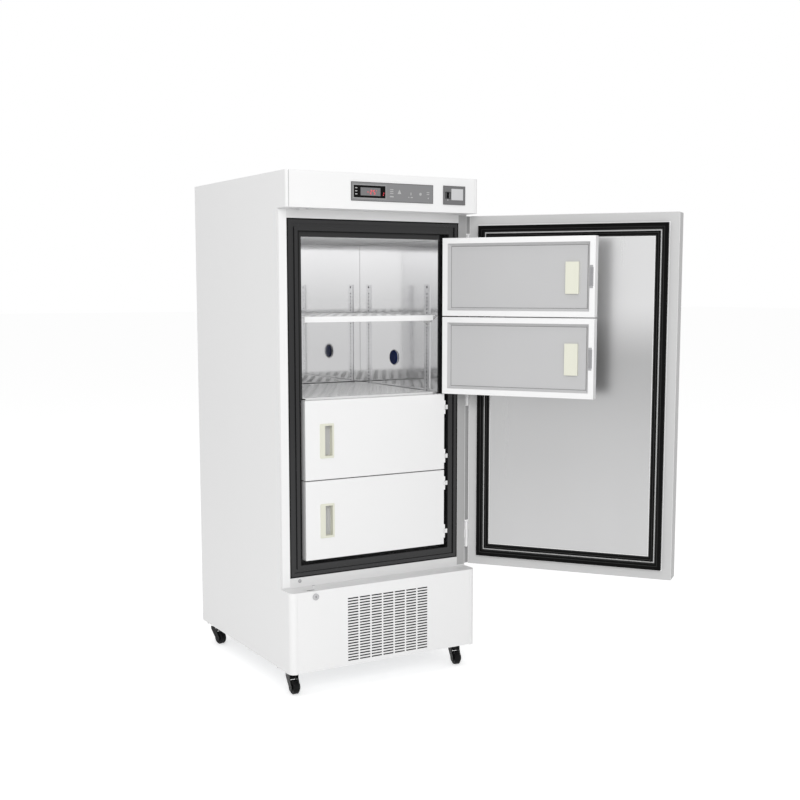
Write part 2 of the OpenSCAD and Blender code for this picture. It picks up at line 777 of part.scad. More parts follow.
module shelf(k) {
    w = 2 * shelf_x;
    d = shelf_y1 - shelf_y0;
    nx = floor((w - 80) / shelf_px);
    ny = floor((d - 80) / shelf_py);
    z = shelf_top(k);
    union() {
        translate([0, (shelf_y0 + shelf_y1) / 2, z - shelf_t]) linear_extrude(shelf_t) difference() {
            square([w, d], center = true);
            for (j = [0 : ny], i = [0 : nx - (j % 2)])
                translate([(i - (nx - (j % 2)) / 2) * shelf_px, (j - ny / 2) * shelf_py])
                    circle(d = shelf_hole, $fn = 24);
        }
        for (y = [shelf_y0, shelf_y1 - shelf_t])
            translate([-lip_x, y, z - shelf_lip]) cube([2 * lip_x, shelf_t, shelf_lip]);
    }
}

module shelves() {
    color("whitesmoke") for (k = [1 : 3]) shelf(k);
}

module shelf_rails() {
    n = floor((rail_z1 - rail_z0 - 32) / rail_pitch);
    color("silver") for (sx = [-1, 1], y = rail_ys)
        translate([sx > 0 ? cav_w / 2 - rail_t : -cav_w / 2, y, rail_z0]) rotate([90, 0, 90])
            linear_extrude(rail_t) difference() {
                translate([-rail_w / 2, 0]) square([rail_w, rail_z1 - rail_z0]);
                for (i = [0 : n]) translate([0, 8 + i * rail_pitch]) square([5, 5.4], center = true);
                translate([0, rail_z1 - rail_z0 - 9]) circle(d = 8, $fn = 24);
            }
}

// Open V of two arms under a level edge that carries the shelf, with a hole in each arm
module shelf_clip() {
    h = clip_len / 2;
    rotate([90, 0, 90]) translate([0, 0, -clip_t]) linear_extrude(clip_t) difference() {
        polygon([[-h, 0], [h, 0], [h, -5], [8, -clip_drop], [-8, -clip_drop], [-h, -5]]);
        polygon([[-h + clip_arm, -5], [h - clip_arm, -5], [0, 9 - clip_drop]]);
        for (s = [-1, 1]) translate([s * (h - clip_arm + 3), -10]) circle(d = 5, $fn = 24);
    }
    translate([-clip_w, -h, -clip_t]) cube([clip_w, clip_len, clip_t]);
}

module shelf_clips() {
    color("white") for (k = [1 : 3], y = rail_ys, sx = [-1, 1])
        translate([0, y, shelf_top(k) - shelf_t]) mirror([sx > 0 ? 0 : 1, 0, 0])
            translate([cav_w / 2 - rail_t, 0, 0]) shelf_clip();
}

module port_plug() {
    color("midnightblue") translate([cav_w / 2, port_y, port_z]) rotate([0, 90, 0]) union() {
        translate([0, 0, -5]) cylinder(d1 = port_d - 10, d2 = port_d - 2, h = 5);
        translate([0, 0, 0]) cylinder(d = port_d - 1, h = side_in - cav_w / 2 - 0.3);
    }
}

module door_switch() {
    color("gray") for (p = switch_ps) translate([p[0], p[1], z_head]) union() {
        translate([0, 0, -switch_drop + 1.6]) cylinder(r = switch_r, h = switch_drop - 1.6);
        translate([0, 0, -switch_drop]) cylinder(r1 = switch_r - 1.6, r2 = switch_r, h = 1.6);
        cylinder(r = switch_r - 2, h = 12);
    }
}

module at_main_door() {
    translate([hinge_x, hinge_y, 0]) rotate([0, 0, door_open]) translate([-hinge_x, -hinge_y, 0]) children();
}

// Plan of the main door pan, outer corners rounded
module door_plan(inset) {
    translate([-door_w / 2 + inset, door_out_y + inset]) {
        r = door_r - inset;
        translate([r, r]) circle(r, $fn = 32);
        translate([door_w - 2 * inset - r, r]) circle(r, $fn = 32);
        translate([r, 0]) square([door_w - 2 * inset - 2 * r, r + 1]);
        translate([0, r]) square([door_w - 2 * inset, door_t - 2 * inset - r]);
    }
}

module door_skin() {
    color("white") at_main_door() difference() {
        translate([0, 0, door_z0]) linear_extrude(door_h) door_plan(0);
        translate([0, 0, door_z0 + sheet_t]) linear_extrude(door_h - 2 * sheet_t) door_plan(sheet_t);
        plate_xz(door_w - 2 * liner_in + 6, door_h - 2 * liner_in + 6, door_mid, door_in_y - 4, 6);
        keep_slot();
    }
}

// Slot in the door's lower edge that the lock's cam swings into
module keep_slot() {
    translate([cam_slot_x, cam_y + cam_t / 2, door_z0]) cube([cam_slot_l, cam_t + 2.5, 24], center = true);
}

module door_core() {
    color("khaki") at_main_door() difference() {
        translate([0, 0, door_z0 + sheet_t + 0.2])
            linear_extrude(door_h - 2 * sheet_t - 0.4) door_plan(sheet_t + 0.2);
        keep_slot();
    }
}

module door_liner() {
    lw = door_w - 2 * liner_in;
    lh = door_h - 2 * liner_in;
    color("silver") at_main_door() union() {
        plate_xz(lw + 5, lh + 5, door_mid, door_in_y - sheet_t, sheet_t);
        plate_xz(lw, lh, door_mid, door_in_y - eps, door_liner_proud + eps);
    }
}

module outer_seal() {
    color("black") at_main_door() difference() {
        ring_xz(door_w - 2 * seal_in, door_h - 2 * seal_in, door_w - 2 * seal_in - 2 * seal_w,
                door_h - 2 * seal_in - 2 * seal_w, door_mid, door_in_y, seal_h);
        ring_xz(door_w - 2 * seal_in + 1, door_h - 2 * seal_in + 1, door_w - 2 * seal_in - 5,
                door_h - 2 * seal_in - 5, door_mid, door_in_y + 3, 4);
    }
}

module inner_seal() {
    color("black") at_main_door()
        ring_xz(door_w - 2 * seal2_in, door_h - 2 * seal2_in, door_w - 2 * seal2_in - 2 * seal2_w,
                door_h - 2 * seal2_in - 2 * seal2_w, door_mid, door_in_y, seal2_h);
}

module door_handle() {
    color("gainsboro") at_main_door()
        translate([-door_w / 2, door_out_y, door_mid - handle_low - handle_len / 2])
        linear_extrude(handle_len) union() {
            translate([handle_in, -handle_out + handle_t]) square([handle_t, handle_out - handle_t]);
            translate([handle_in + handle_t, -handle_out]) square([handle_w - 1.5 * handle_t, handle_t]);
            translate([handle_in + handle_w - handle_t / 2, -handle_out + handle_t / 2])
                circle(handle_t / 2, $fn = 32);
            intersection() {
                translate([handle_in + handle_t, -handle_out + handle_t]) circle(handle_t, $fn = 32);
                translate([handle_in, -handle_out]) square([handle_t + 1, handle_t + 1]);
            }
        }
}

hinge_zs = [door_z0 + 60, door_mid - hinge_len / 2, door_z1 - 60 - hinge_len];
leaf_x0 = cab_w / 2;
leaf_plate = hinge_out - 0.4;

module cabinet_hinges() {
    third = hinge_len / 3;
    color("white") for (z = hinge_zs) difference() {
        union() {
            translate([hinge_x, hinge_y, z + third + knuckle_gap])
                cylinder(r = knuckle_r, h = third - 2 * knuckle_gap);
            span([leaf_x0, hinge_y, z + third + knuckle_gap],
                 [hinge_x, y_face + 4, z + 2 * third - knuckle_gap]);
            span([leaf_x0, y_face + 2, z], [leaf_x0 + leaf_plate, y_face + 32, z + hinge_len]);
        }
        translate([hinge_x, hinge_y, z - 1]) cylinder(r = hinge_pin_r + run_gap, h = hinge_len + 2);
        span([0, y_front, z - 1], [leaf_x0, y_back, z + hinge_len + 1]);
        for (s = [0.18, 0.82]) translate([leaf_x0 - 1, y_face + 20, z + s * hinge_len])
            rotate([0, 90, 0]) cylinder(r = 2.2, h = 10);
    }
}

module door_hinges() {
    third = hinge_len / 3;
    color("white") at_main_door() for (z = hinge_zs) union() {
        difference() {
            union() {
                for (s = [0, 2]) translate([hinge_x, hinge_y, z + s * third])
                    cylinder(r = knuckle_r, h = third);
                for (s = [0, 2])
                    span([leaf_x0, door_in_y - 4, z + s * third], [hinge_x, hinge_y, z + (s + 1) * third]);
                span([leaf_x0, door_in_y - 32, z], [leaf_x0 + leaf_plate, door_in_y - 2, z + hinge_len]);
            }
            span([0, door_out_y, z - 1], [leaf_x0, y_back, z + hinge_len + 1]);
            for (s = [0.18, 0.82]) translate([leaf_x0 - 1, door_in_y - 20, z + s * hinge_len])
                rotate([0, 90, 0]) cylinder(r = 2.2, h = 10);
        }
        translate([hinge_x, hinge_y, z + 1]) cylinder(r = hinge_pin_r, h = hinge_len - 2);
    }
}

module at_inner_door(k) {
    a = k <= 2 ? inner_open : 0;
    translate([inner_hinge_x, inner_hinge_y, 0]) rotate([0, 0, a])
        translate([-inner_hinge_x, -inner_hinge_y, 0]) children();
}

function inner_hinge_z(k) = [inner_top(k) - inner_hinge_in - inner_hinge_len,
                             inner_top(k) - inner_h + inner_hinge_in];

module inner_door(k) {
    z = inner_mid(k);
    px = -inner_w / 2 + pull_in + pull_w / 2;
    third = inner_hinge_len / 3;
    color("white") at_inner_door(k) difference() {
        union() {
            span([-inner_w / 2, inner_y, z - inner_h / 2],
                 [inner_w / 2, inner_y + inner_t, z + inner_h / 2]);
            for (hz = inner_hinge_z(k), s = [0, 2]) {
                translate([inner_hinge_x, inner_hinge_y, hz + s * third])
                    cylinder(r = inner_knuckle_r, h = third, $fn = 32);
                span([inner_w / 2 - 1, inner_y, hz + s * third],
                     [inner_hinge_x, inner_y + leaf_t, hz + (s + 1) * third]);
            }
        }
        translate([0, inner_y + inner_t, z]) rotate([90, 0, 0]) translate([0, 0, -eps]) {
            linear_extrude(sunk_d)
                square([inner_w - 2 * (rim_w + bevel_w), inner_h - 2 * (rim_w + bevel_w)], center = true);
            bevel_ring(inner_w - 2 * rim_w, inner_h - 2 * rim_w);
        }
        translate([px, inner_y + inner_t / 2, z - pull_low])
            cube([pull_w - 6 + 0.2, inner_t + 2, pull_h - 10 + 0.2], center = true);
        translate([-inner_w / 2 + latch_in + latch_w / 2, inner_y + inner_t, z])
            cube([latch_w + 0.4, 8.2, latch_h + 0.4], center = true);
        for (hz = inner_hinge_z(k)) translate([inner_hinge_x, inner_hinge_y, hz + third - knuckle_gap])
            cylinder(r = inner_knuckle_r + 0.5, h = third + 2 * knuckle_gap, $fn = 32);
    }
    color("silver") at_inner_door(k) for (hz = inner_hinge_z(k))
        translate([inner_hinge_x, inner_hinge_y, hz + 0.5])
            cylinder(r = inner_pin_r, h = inner_hinge_len - 1, $fn = 32);
}

// Four sloping sides between an inner door's rim and its sunk panel
module bevel_ring(w, h) {
    b = bevel_w;
    d = sunk_d;
    polyhedron(
        points = [[-w / 2, -h / 2, 0], [w / 2, -h / 2, 0], [w / 2, h / 2, 0], [-w / 2, h / 2, 0],
                  [-w / 2 + b, -h / 2 + b, d], [w / 2 - b, -h / 2 + b, d],
                  [w / 2 - b, h / 2 - b, d], [-w / 2 + b, h / 2 - b, d]],
        faces = [[0, 1, 2, 3], [7, 6, 5, 4], [0, 4, 5, 1], [1, 5, 6, 2], [2, 6, 7, 3], [3, 7, 4, 0]]);
}

module inner_pull(k) {
    z = inner_mid(k) - pull_low;
    px = -inner_w / 2 + pull_in + pull_w / 2;
    cup_d = inner_t - 3;
    color("ivory") at_inner_door(k) difference() {
        union() {
            translate([px, inner_y, z]) rotate([90, 0, 0]) linear_extrude(2.4) rounded(pull_w, pull_h, 3);
            translate([px, inner_y + cup_d / 2, z]) cube([pull_w - 6, cup_d, pull_h - 10], center = true);
        }
        translate([px + 6, inner_y - 3, z]) translate([0, (cup_d + 1) / 2, 0])
            cube([26, cup_d + 1, pull_h - 14], center = true);
        translate([px, inner_y + (cup_d + 5) / 2 - 2, z])
            cube([pull_w - 10, cup_d - 9, pull_h - 14], center = true);
    }
}

module inner_latch(k) {
    z = inner_mid(k);
    color("gray") at_inner_door(k) difference() {
        translate([-inner_w / 2 + latch_in + latch_w / 2, inner_y + inner_t - 2, z])
            cube([latch_w, 4, latch_h], center = true);
        for (s = [-2 : 2]) translate([-inner_w / 2 + latch_in + latch_w / 2, inner_y + inner_t, z + s * 11])
            rotate([90, 0, 0]) cylinder(d = 5, h = 3, center = true, $fn = 24);
    }
}

module inner_hinges() {
    third = inner_hinge_len / 3;
    color("silver") for (k = [1 : 4], hz = inner_hinge_z(k)) difference() {
        union() {
            translate([inner_hinge_x, inner_hinge_y, hz + third + knuckle_gap])
                cylinder(r = inner_knuckle_r, h = third - 2 * knuckle_gap, $fn = 32);
            span([inner_hinge_x, inner_y + 0.6, hz + third + knuckle_gap],
                 [rebate_w / 2, inner_y + 0.6 + leaf_t, hz + 2 * third - knuckle_gap]);
            span([rebate_w / 2 - leaf_t, inner_y + 0.6, hz + third + knuckle_gap],
                 [rebate_w / 2, mouth_y - 4, hz + 2 * third - knuckle_gap]);
        }
        translate([inner_hinge_x, inner_hinge_y, hz])
            cylinder(r = inner_pin_r + run_gap, h = inner_hinge_len, $fn = 32);
    }
}

module caster_plates() {
    color("silver") for (sx = [-1, 1], j = [0, 1])
        translate([sx * caster_x, caster_y[j], z_under - plate_h]) union() {
            translate([-30, j == 0 ? -26 : -60, 0]) cube([60, 86, plate_h]);
            for (nx = [-24, 24], ny = [-20, 52])
                translate([nx, j == 0 ? ny : -ny, -nut_h]) cylinder(d = nut_d, h = nut_h, $fn = 6);
            translate([0, 0, stem_z - z_under + plate_h]) cylinder(r = stem_r, h = z_under + 3 - stem_z);
            translate([0, 0, -4]) cylinder(r = stem_r + 5, h = 4);
        }
}

// Local frame on the swivel axis at floor level, with the wheels toward -Y
module at_caster(k) {
    sx = (k % 2 == 1) ? -1 : 1;
    j = k <= 2 ? 0 : 1;
    translate([sx * caster_x, caster_y[j], 0]) rotate([0, 0, caster_a[k - 1]]) children();
}

// Side view of a fork leg: level upper edge, slanting forward to a round end at the axle
module fork_leg() {
    e = fork_len / 2;
    polygon([[e, ear_z], [e, ear_z - 10], [leg_r - caster_trail, wheel_d / 2],
             [-leg_r - caster_trail, wheel_d / 2], [-e, ear_z - 12], [-e, ear_z]]);
    translate([-caster_trail, wheel_d / 2]) circle(leg_r);
}

// Fork with its two legs, crown and boss
module caster_hood(k) {
    color("black") at_caster(k) difference() {
        union() {
            for (sx = [-1, 1]) translate([sx * (leg_in + fork_t / 2) - fork_t / 2, 0, 0])
                rotate([90, 0, 90]) linear_extrude(fork_t) fork_leg();
            translate([-leg_in - eps, -fork_len / 2, crown_z])
                cube([2 * leg_in + 2 * eps, fork_len, crown_t]);
            translate([0, 0, boss_z]) cylinder(r = boss_r, h = boss_h);
        }
        translate([0, 0, boss_z + 2]) cylinder(r = stem_r + run_gap, h = 40);
        translate([0, -caster_trail, wheel_d / 2]) rotate([0, 90, 0])
            cylinder(r = axle_r + run_gap, h = 100, center = true);
    }
}

module caster_wheels(k) {
    color("dimgray") at_caster(k) translate([0, -caster_trail, wheel_d / 2]) rotate([0, 90, 0]) union() {
        rotate_extrude() difference() {
            translate([0, -wheel_w / 2]) square([wheel_d / 2, wheel_w]);
            for (s = [-1, 1]) {
                translate([wheel_d / 2, s * wheel_w / 2]) rotate(45) square(4, center = true);
                translate([8, s * wheel_w / 2 - 2]) square([wheel_d / 2 - 13, 4]);
            }
        }
        cylinder(r = 6, h = 2 * leg_in - 0.6, center = true);
        cylinder(r = axle_r, h = 2 * leg_in + 2 * fork_t + 1, center = true);
    }
}

left_side_panel();
right_side_panel();
top_panel();
back_panel();
base_frame();
insulation();
cavity_liner();
breaker_frame();
front_surround();
header_cover();
control_panel();
display_window();
switch_plate();
rocker_switch();
control_box();
grille_panel();
lock_ring();
key_lock();
door_sill();
compressor();
condenser();
fan_motor();
fan_blades();
drip_tray();
power_inlet();
shelves();
shelf_rails();
shelf_clips();
port_plug();
door_switch();
cabinet_hinges();
inner_hinges();
caster_plates();
door_skin();
door_core();
door_liner();
outer_seal();
inner_seal();
door_handle();
door_hinges();
inner_door(1);  // inner_door_1
inner_door(2);  // inner_door_2
inner_door(3);  // inner_door_3
inner_door(4);  // inner_door_4
inner_pull(1);  // inner_pull_1
inner_pull(2);  // inner_pull_2
inner_pull(3);  // inner_pull_3
inner_pull(4);  // inner_pull_4
inner_latch(1);  // inner_latch_1
inner_latch(2);  // inner_latch_2
inner_latch(3);  // inner_latch_3
inner_latch(4);  // inner_latch_4
caster_hood(1);  // caster_1_hood
caster_hood(2);  // caster_2_hood
caster_hood(3);  // caster_3_hood
caster_hood(4);  // caster_4_hood
caster_wheels(1);  // caster_1_wheels
caster_wheels(2);  // caster_2_wheels
caster_wheels(3);  // caster_3_wheels
caster_wheels(4);  // caster_4_wheels
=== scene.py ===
import json
import math

import bmesh
import bpy
from bpy.props import FloatProperty, FloatVectorProperty, PointerProperty
from mathutils import Matrix, Vector


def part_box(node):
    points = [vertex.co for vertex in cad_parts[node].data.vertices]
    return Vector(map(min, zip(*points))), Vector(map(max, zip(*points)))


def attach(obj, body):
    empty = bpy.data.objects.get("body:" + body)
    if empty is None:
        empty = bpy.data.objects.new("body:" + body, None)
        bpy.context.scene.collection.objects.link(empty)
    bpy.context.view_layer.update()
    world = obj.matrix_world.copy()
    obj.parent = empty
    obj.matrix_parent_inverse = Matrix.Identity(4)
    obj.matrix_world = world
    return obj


bl_info = {
    "name": "Laboratory Freezer",
    "version": (1, 0, 0),
    "blender": (4, 5, 0),
    "location": "View3D > Sidebar > Freezer",
    "description": "Finishes and fine pieces for an upright laboratory freezer",
    "category": "Object",
}

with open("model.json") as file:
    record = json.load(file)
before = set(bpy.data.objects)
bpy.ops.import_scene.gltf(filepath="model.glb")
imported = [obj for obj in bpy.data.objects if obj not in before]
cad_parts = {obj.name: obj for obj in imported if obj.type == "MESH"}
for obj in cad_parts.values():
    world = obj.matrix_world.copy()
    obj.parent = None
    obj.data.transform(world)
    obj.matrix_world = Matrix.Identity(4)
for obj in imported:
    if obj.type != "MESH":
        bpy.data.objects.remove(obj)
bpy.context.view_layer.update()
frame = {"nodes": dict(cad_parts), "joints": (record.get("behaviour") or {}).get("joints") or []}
NODES = frame["nodes"]
JOINTS = {j["name"]: j for j in frame["joints"]}

# ---------------- places that follow the CAD part
# Metres, in the shared frame: X to the right, Y to the back, Z up.

DOOR_OPEN = 128.0                   # degrees that the main door stands open at rest
INNER_OPEN = 124.4                  # degrees that the two upper inner doors stand open at rest
DOOR_HALF, DOOR_LOW, DOOR_HIGH = 0.350, 0.3514, 1.5447
DOOR_IN, DOOR_OUT = -0.327, -0.397  # inner and outer face of the closed main door
HINGE_LEN = 0.090
HINGE_LOWS = (DOOR_LOW + 0.060, (DOOR_LOW + DOOR_HIGH) / 2 - 0.045, DOOR_HIGH - 0.150)
HINGE_GAP = 0.0015                  # between a hinge and the cover strip above or below it

BODY_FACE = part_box("front_surround")[0].y
BACK_FACE = 0.383
SILL_Z = 0.345
SEAM_X = -0.3415                    # seam between the header's front and its left flange
REBATE_X = 0.2765                   # edge of the rebate for the inner doors
STUD_AT = (-0.2847, 0.3661)         # X and Z of the stud on the surround
SMALL_STUD_AT = (-0.2426, -0.3290)  # X and Y of the stud on the sill
KEEPER = ((-0.2847, -0.3690), (-0.2587, -0.3655))  # corners of its slot in the sill, X and Y
GRILLE_FIELD = (-0.1455, 0.1565, 0.0967, 0.3068)   # X, low and high, then Z
GRILLE_COLUMNS = 7

CAVITY_HALF, CAVITY_MOUTH, CAVITY_BACK = 0.256, -0.284, 0.269
CAVITY_LOW, CAVITY_HIGH = 0.434, 1.4645
RAIL_YS = (-0.217, 0.197)
SLOT_LOW, SLOT_PITCH, SLOT_COUNT = 0.445, 0.0127, 67  # middle of each rail's lowest slot
SLOT_HALF_WIDTH, SLOT_HALF_HEIGHT = 0.00245, 0.00265
RAIL_HOLE_Z, RAIL_HOLE_RADIUS = 1.307, 0.0039

FOLD = 0.0005                       # size of the liner's folds

BACK_SCREW_X = 0.337
BACK_SCREW_ZS = (0.372, 0.600, 0.830, 1.060, 1.290, 1.520, 1.636)
LOW_SCREW_ZS = (0.105, 0.215, 0.322)
ROW_SCREW_XS = (-0.17, 0.0, 0.17)
SCREW_ROWS = ((0.0, 1.648), (0.06, 0.334), (0.06, 0.092))  # shift in X and height of each row

LEAF = 0.0018                       # outer face of the hinge leaves, from the cabinet's side
# Section of the cover strip: X from the cabinet's side and Y from its face, low and high
STRIP_SECTION = ((-0.0002, 0.0012, 0.0035, 0.030), (0.0012, 0.0160, 0.0035, 0.0053),
                 (0.0148, 0.0160, 0.0053, 0.011))
# Inset and depth of an inner lining's rim, of its floor's two faces and of its rim's back
LINING = ((0.0182, 0.0002), (0.0272, 0.0115), (0.0272, 0.0123), (0.0182, 0.0009))
SHADE_LINE_INSET = 0.0268                # from an inner door's edge to the painted shade line round its floor
LUG_REACH = 0.033                   # from the middle of a latch to each of its lugs

SINK = 0.0004                       # how far a thin piece reaches into the sheet under it
PRINT_SINK = 0.0003                 # the same for a printed sign
FIGURES = (("g", -0.011), ("abged", 0.0), ("afgcd", 0.0115))  # lit strokes and place in X
KEY_SHARES = (0.13, 0.29, 0.53, 0.73, 0.89)  # of the way from the display to the panel's end
# Bars on each key, from its middle: left, right, foot, head
KEY_BARS = (
    ((-0.006, 0.006, 0.010, 0.0125), (-0.006, 0.006, 0.004, 0.0065),
     (-0.006, 0.006, -0.002, 0.0005), (-0.007, 0.007, -0.0125, -0.0085)),
    (),
    ((-0.010, -0.006, -0.012, -0.009), (-0.001, 0.007, -0.012, -0.009),
     (-0.0015, 0.0015, -0.004, 0.005)),
    (),
    ((-0.005, 0.005, 0.006, 0.0085), (-0.005, 0.005, 0.0, 0.0025)))

WHITE = (1, 1, 1, 1)
FLOOR_HALF, FLOOR_Z = 60, -0.0004   # just under the casters
LAMP_AIM = (0.1, -0.2, 0.9)
CAMERA_AT = (-1.9326, -3.7731, 1.3041)
CAMERA_YAW, CAMERA_PITCH = 30.42, 6.66  # degrees


# ---------------- settings

class FinishSettings(bpy.types.PropertyGroup):
    enamel: FloatVectorProperty(
        name="Enamel", description="Colour of the white baked enamel", subtype="COLOR", size=3,
        min=0, max=1, default=(0.88, 0.88, 0.88))
    # Gray of the trim round the main door's inner side: partly the trim's own colour, partly
    # painted shade that falls there.
    door_margin_and_shade: FloatVectorProperty(
        name="Door margin",
        description="Colour of the plastic trim round the main door's inner side",
        subtype="COLOR", size=3, min=0, max=1, default=(0.58, 0.58, 0.58))
    # Grayer than the white enamel: painted shade under the header's overhang and beside the open
    # door.
    surround: FloatVectorProperty(
        name="Surround", description="Colour of the sheet round the dark frame", subtype="COLOR",
        size=3, min=0, max=1, default=(0.74, 0.74, 0.74))
    dark_profile: FloatVectorProperty(
        name="Dark profile", description="Colour of the frame round the mouth", subtype="COLOR",
        size=3, min=0, max=1, default=(0.012, 0.012, 0.013))
    panel_gray: FloatVectorProperty(
        name="Panel gray", description="Colour of the control panel", subtype="COLOR", size=3,
        min=0, max=1, default=(0.24, 0.24, 0.245))
    plate_gray: FloatVectorProperty(
        name="Plate gray", description="Colour of the switch plate", subtype="COLOR", size=3,
        min=0, max=1, default=(0.17, 0.17, 0.172))
    cream: FloatVectorProperty(
        name="Cream", description="Colour of the finger pulls", subtype="COLOR", size=3,
        min=0, max=1, default=(0.76, 0.76, 0.65))
    plug_blue: FloatVectorProperty(
        name="Plug blue", description="Colour of the port plug", subtype="COLOR", size=3,
        min=0, max=1, default=(0.012, 0.022, 0.085))
    digit_red: FloatVectorProperty(
        name="Digit red", description="Colour of the lit digits", subtype="COLOR", size=3,
        min=0, max=1, default=(0.75, 0.05, 0.07))


class SizeSettings(bpy.types.PropertyGroup):
    edge_round: FloatProperty(
        name="Edge round", description="Rounding of sheet and moulded edges", unit="LENGTH",
        subtype="DISTANCE", min=0.0001, max=0.003, default=0.0006)
    seal_lip: FloatProperty(
        name="Seal lip", description="Width of the ridges along the seals", unit="LENGTH",
        subtype="DISTANCE", min=0.0005, max=0.003, default=0.0016)
    digit_height: FloatProperty(
        name="Digit height", description="Height of the display's digits", unit="LENGTH",
        subtype="DISTANCE", min=0.005, max=0.02, default=0.0135)
    screw_radius: FloatProperty(
        name="Screw radius", description="Radius of the screw heads on the back", unit="LENGTH",
        subtype="DISTANCE", min=0.001, max=0.006, default=0.0035)


class StageSettings(bpy.types.PropertyGroup):
    fill: FloatProperty(
        name="Fill", description="Strength of the even light from all round", min=0, max=3,
        default=0.56)
    key: FloatProperty(
        name="Key", description="Power of the large lamp at the front left", subtype="POWER",
        min=0, max=3000, default=150)
    top: FloatProperty(
        name="Top", description="Power of the lamp above the freezer", subtype="POWER", min=0,
        max=3000, default=45)


def finishes():
    return bpy.context.scene.freezer_finish


def sizes():
    return bpy.context.scene.freezer_size


# ---------------- shader groups

def add_node(tree, kind, inputs=None, operation=None):
    """New node; each input is a value to set or an output socket to link."""
    node = tree.nodes.new(kind)
    if operation:
        node.operation = operation
    for key, value in (inputs or {}).items():
        if isinstance(value, bpy.types.NodeSocket):
            tree.links.new(value, node.inputs[key])
        else:
            node.inputs[key].default_value = value
    return node


def new_group(name, wanted_in):
    """Node group with the given inputs that gives a colour, a roughness and a height."""
    tree = bpy.data.node_groups.new(name, "ShaderNodeTree")
    for socket, kind, value in wanted_in:
        given = tree.interface.new_socket(name=socket, in_out="INPUT", socket_type=kind)
        given.default_value = value
    for socket, kind in (("Color", "NodeSocketColor"), ("Roughness", "NodeSocketFloat"),
                         ("Height", "NodeSocketFloat")):
        tree.interface.new_socket(name=socket, in_out="OUTPUT", socket_type=kind)
    return tree, tree.nodes.new("NodeGroupInput").outputs


def finish_group(tree, base, shade, roughness, height):
    """Scales the base colour by a shade and joins the group's outputs."""
    tint = add_node(tree, "ShaderNodeVectorMath", {0: base, "Scale": shade}, "SCALE")
    add_node(tree, "NodeGroupOutput",
             {"Color": tint.outputs[0], "Roughness": roughness, "Height": height})
    return tree


def stipple_group():
    """Fine orange peel of baked enamel or moulded plastic, with a soft mottle."""
    tree, given = new_group("Stipple", (
        ("Scale", "NodeSocketFloat", 400.0), ("Mottle", "NodeSocketFloat", 0.02),
        ("Base", "NodeSocketColor", (0.8, 0.8, 0.8, 1.0)), ("Rough", "NodeSocketFloat", 0.4)))
    place = tree.nodes.new("ShaderNodeTexCoord").outputs["Object"]
    fine = add_node(tree, "ShaderNodeTexNoise",
                    {"Detail": 3.0, "Vector": place, "Scale": given["Scale"]})
    broad = add_node(tree, "ShaderNodeTexNoise", {"Scale": 5.0, "Detail": 4.0, "Vector": place})
    spread = add_node(tree, "ShaderNodeMath", {0: broad.outputs["Fac"], 1: 0.5}, "SUBTRACT")
    swing = add_node(tree, "ShaderNodeMath", {0: spread.outputs[0], 1: given["Mottle"]}, "MULTIPLY")
    lift = add_node(tree, "ShaderNodeMath", {0: swing.outputs[0], 1: 1.0}, "ADD")
    rough = add_node(tree, "ShaderNodeMath", {0: spread.outputs[0], 1: 0.12, 2: given["Rough"]},
                     "MULTIPLY_ADD")
    return finish_group(tree, given["Base"], lift.outputs[0], rough.outputs[0],
                        fine.outputs["Fac"])


def brushing_group():
    """Faint drawn lines of rolled sheet, with a roughness that changes across the lines."""
    tree, given = new_group("Brushing", (
        ("Along", "NodeSocketVector", (1.0, 1.0, 60.0)),
        ("Base", "NodeSocketColor", (0.8, 0.8, 0.8, 1.0)),
        ("Rough", "NodeSocketFloat", 0.2), ("Swing", "NodeSocketFloat", 0.1)))
    place = tree.nodes.new("ShaderNodeTexCoord").outputs["Object"]
    drawn = add_node(tree, "ShaderNodeVectorMath", {0: place, 1: given["Along"]}, "MULTIPLY")
    lines = add_node(tree, "ShaderNodeTexNoise",
                     {"Scale": 12.0, "Detail": 5.0, "Vector": drawn.outputs[0]})
    broad = add_node(tree, "ShaderNodeTexNoise", {"Scale": 2.5, "Vector": place})
    middle = add_node(tree, "ShaderNodeMath", {0: lines.outputs["Fac"], 1: 0.5}, "SUBTRACT")
    rough = add_node(tree, "ShaderNodeMath",
                     {0: middle.outputs[0], 1: given["Swing"], 2: given["Rough"]}, "MULTIPLY_ADD")
    shade = add_node(tree, "ShaderNodeMath", {0: broad.outputs["Fac"], 1: 0.06, 2: 0.97},
                     "MULTIPLY_ADD")
    return finish_group(tree, given["Base"], shade.outputs[0], rough.outputs[0],
                        lines.outputs["Fac"])


GROUP_MAKERS = {"Stipple": stipple_group, "Brushing": brushing_group}


# ---------------- materials

def empty_tree(block):
    """Node tree of a new material or world, without its first nodes."""
    block.use_nodes = True
    block.node_tree.nodes.clear()
    return block.node_tree


def start_material(name):
    m = bpy.data.materials.new(name)
    tree = empty_tree(m)
    shader = tree.nodes.new("ShaderNodeBsdfPrincipled")
    add_node(tree, "ShaderNodeOutputMaterial", {"Surface": shader.outputs[0]})
    return m, shader


def grained(name, group, group_inputs, shader_inputs, strength, depth):
    """Material whose colour, roughness and relief come from a shared group, and that group."""
    m, shader = start_material(name)
    tree = m.node_tree
    grain = tree.nodes.new("ShaderNodeGroup")
    grain.node_tree = bpy.data.node_groups.get(group) or GROUP_MAKERS[group]()
    for key, value in group_inputs.items():
        grain.inputs[key].default_value = value
    bump = add_node(tree, "ShaderNodeBump", {
        "Strength": strength, "Distance": depth, "Height": grain.outputs["Height"]})
    for key, value in (("Base Color", grain.outputs["Color"]),
                       ("Roughness", grain.outputs["Roughness"]), ("Normal", bump.outputs[0])):
        tree.links.new(value, shader.inputs[key])
    for key, value in shader_inputs.items():
        shader.inputs[key].default_value = value
    return m, grain


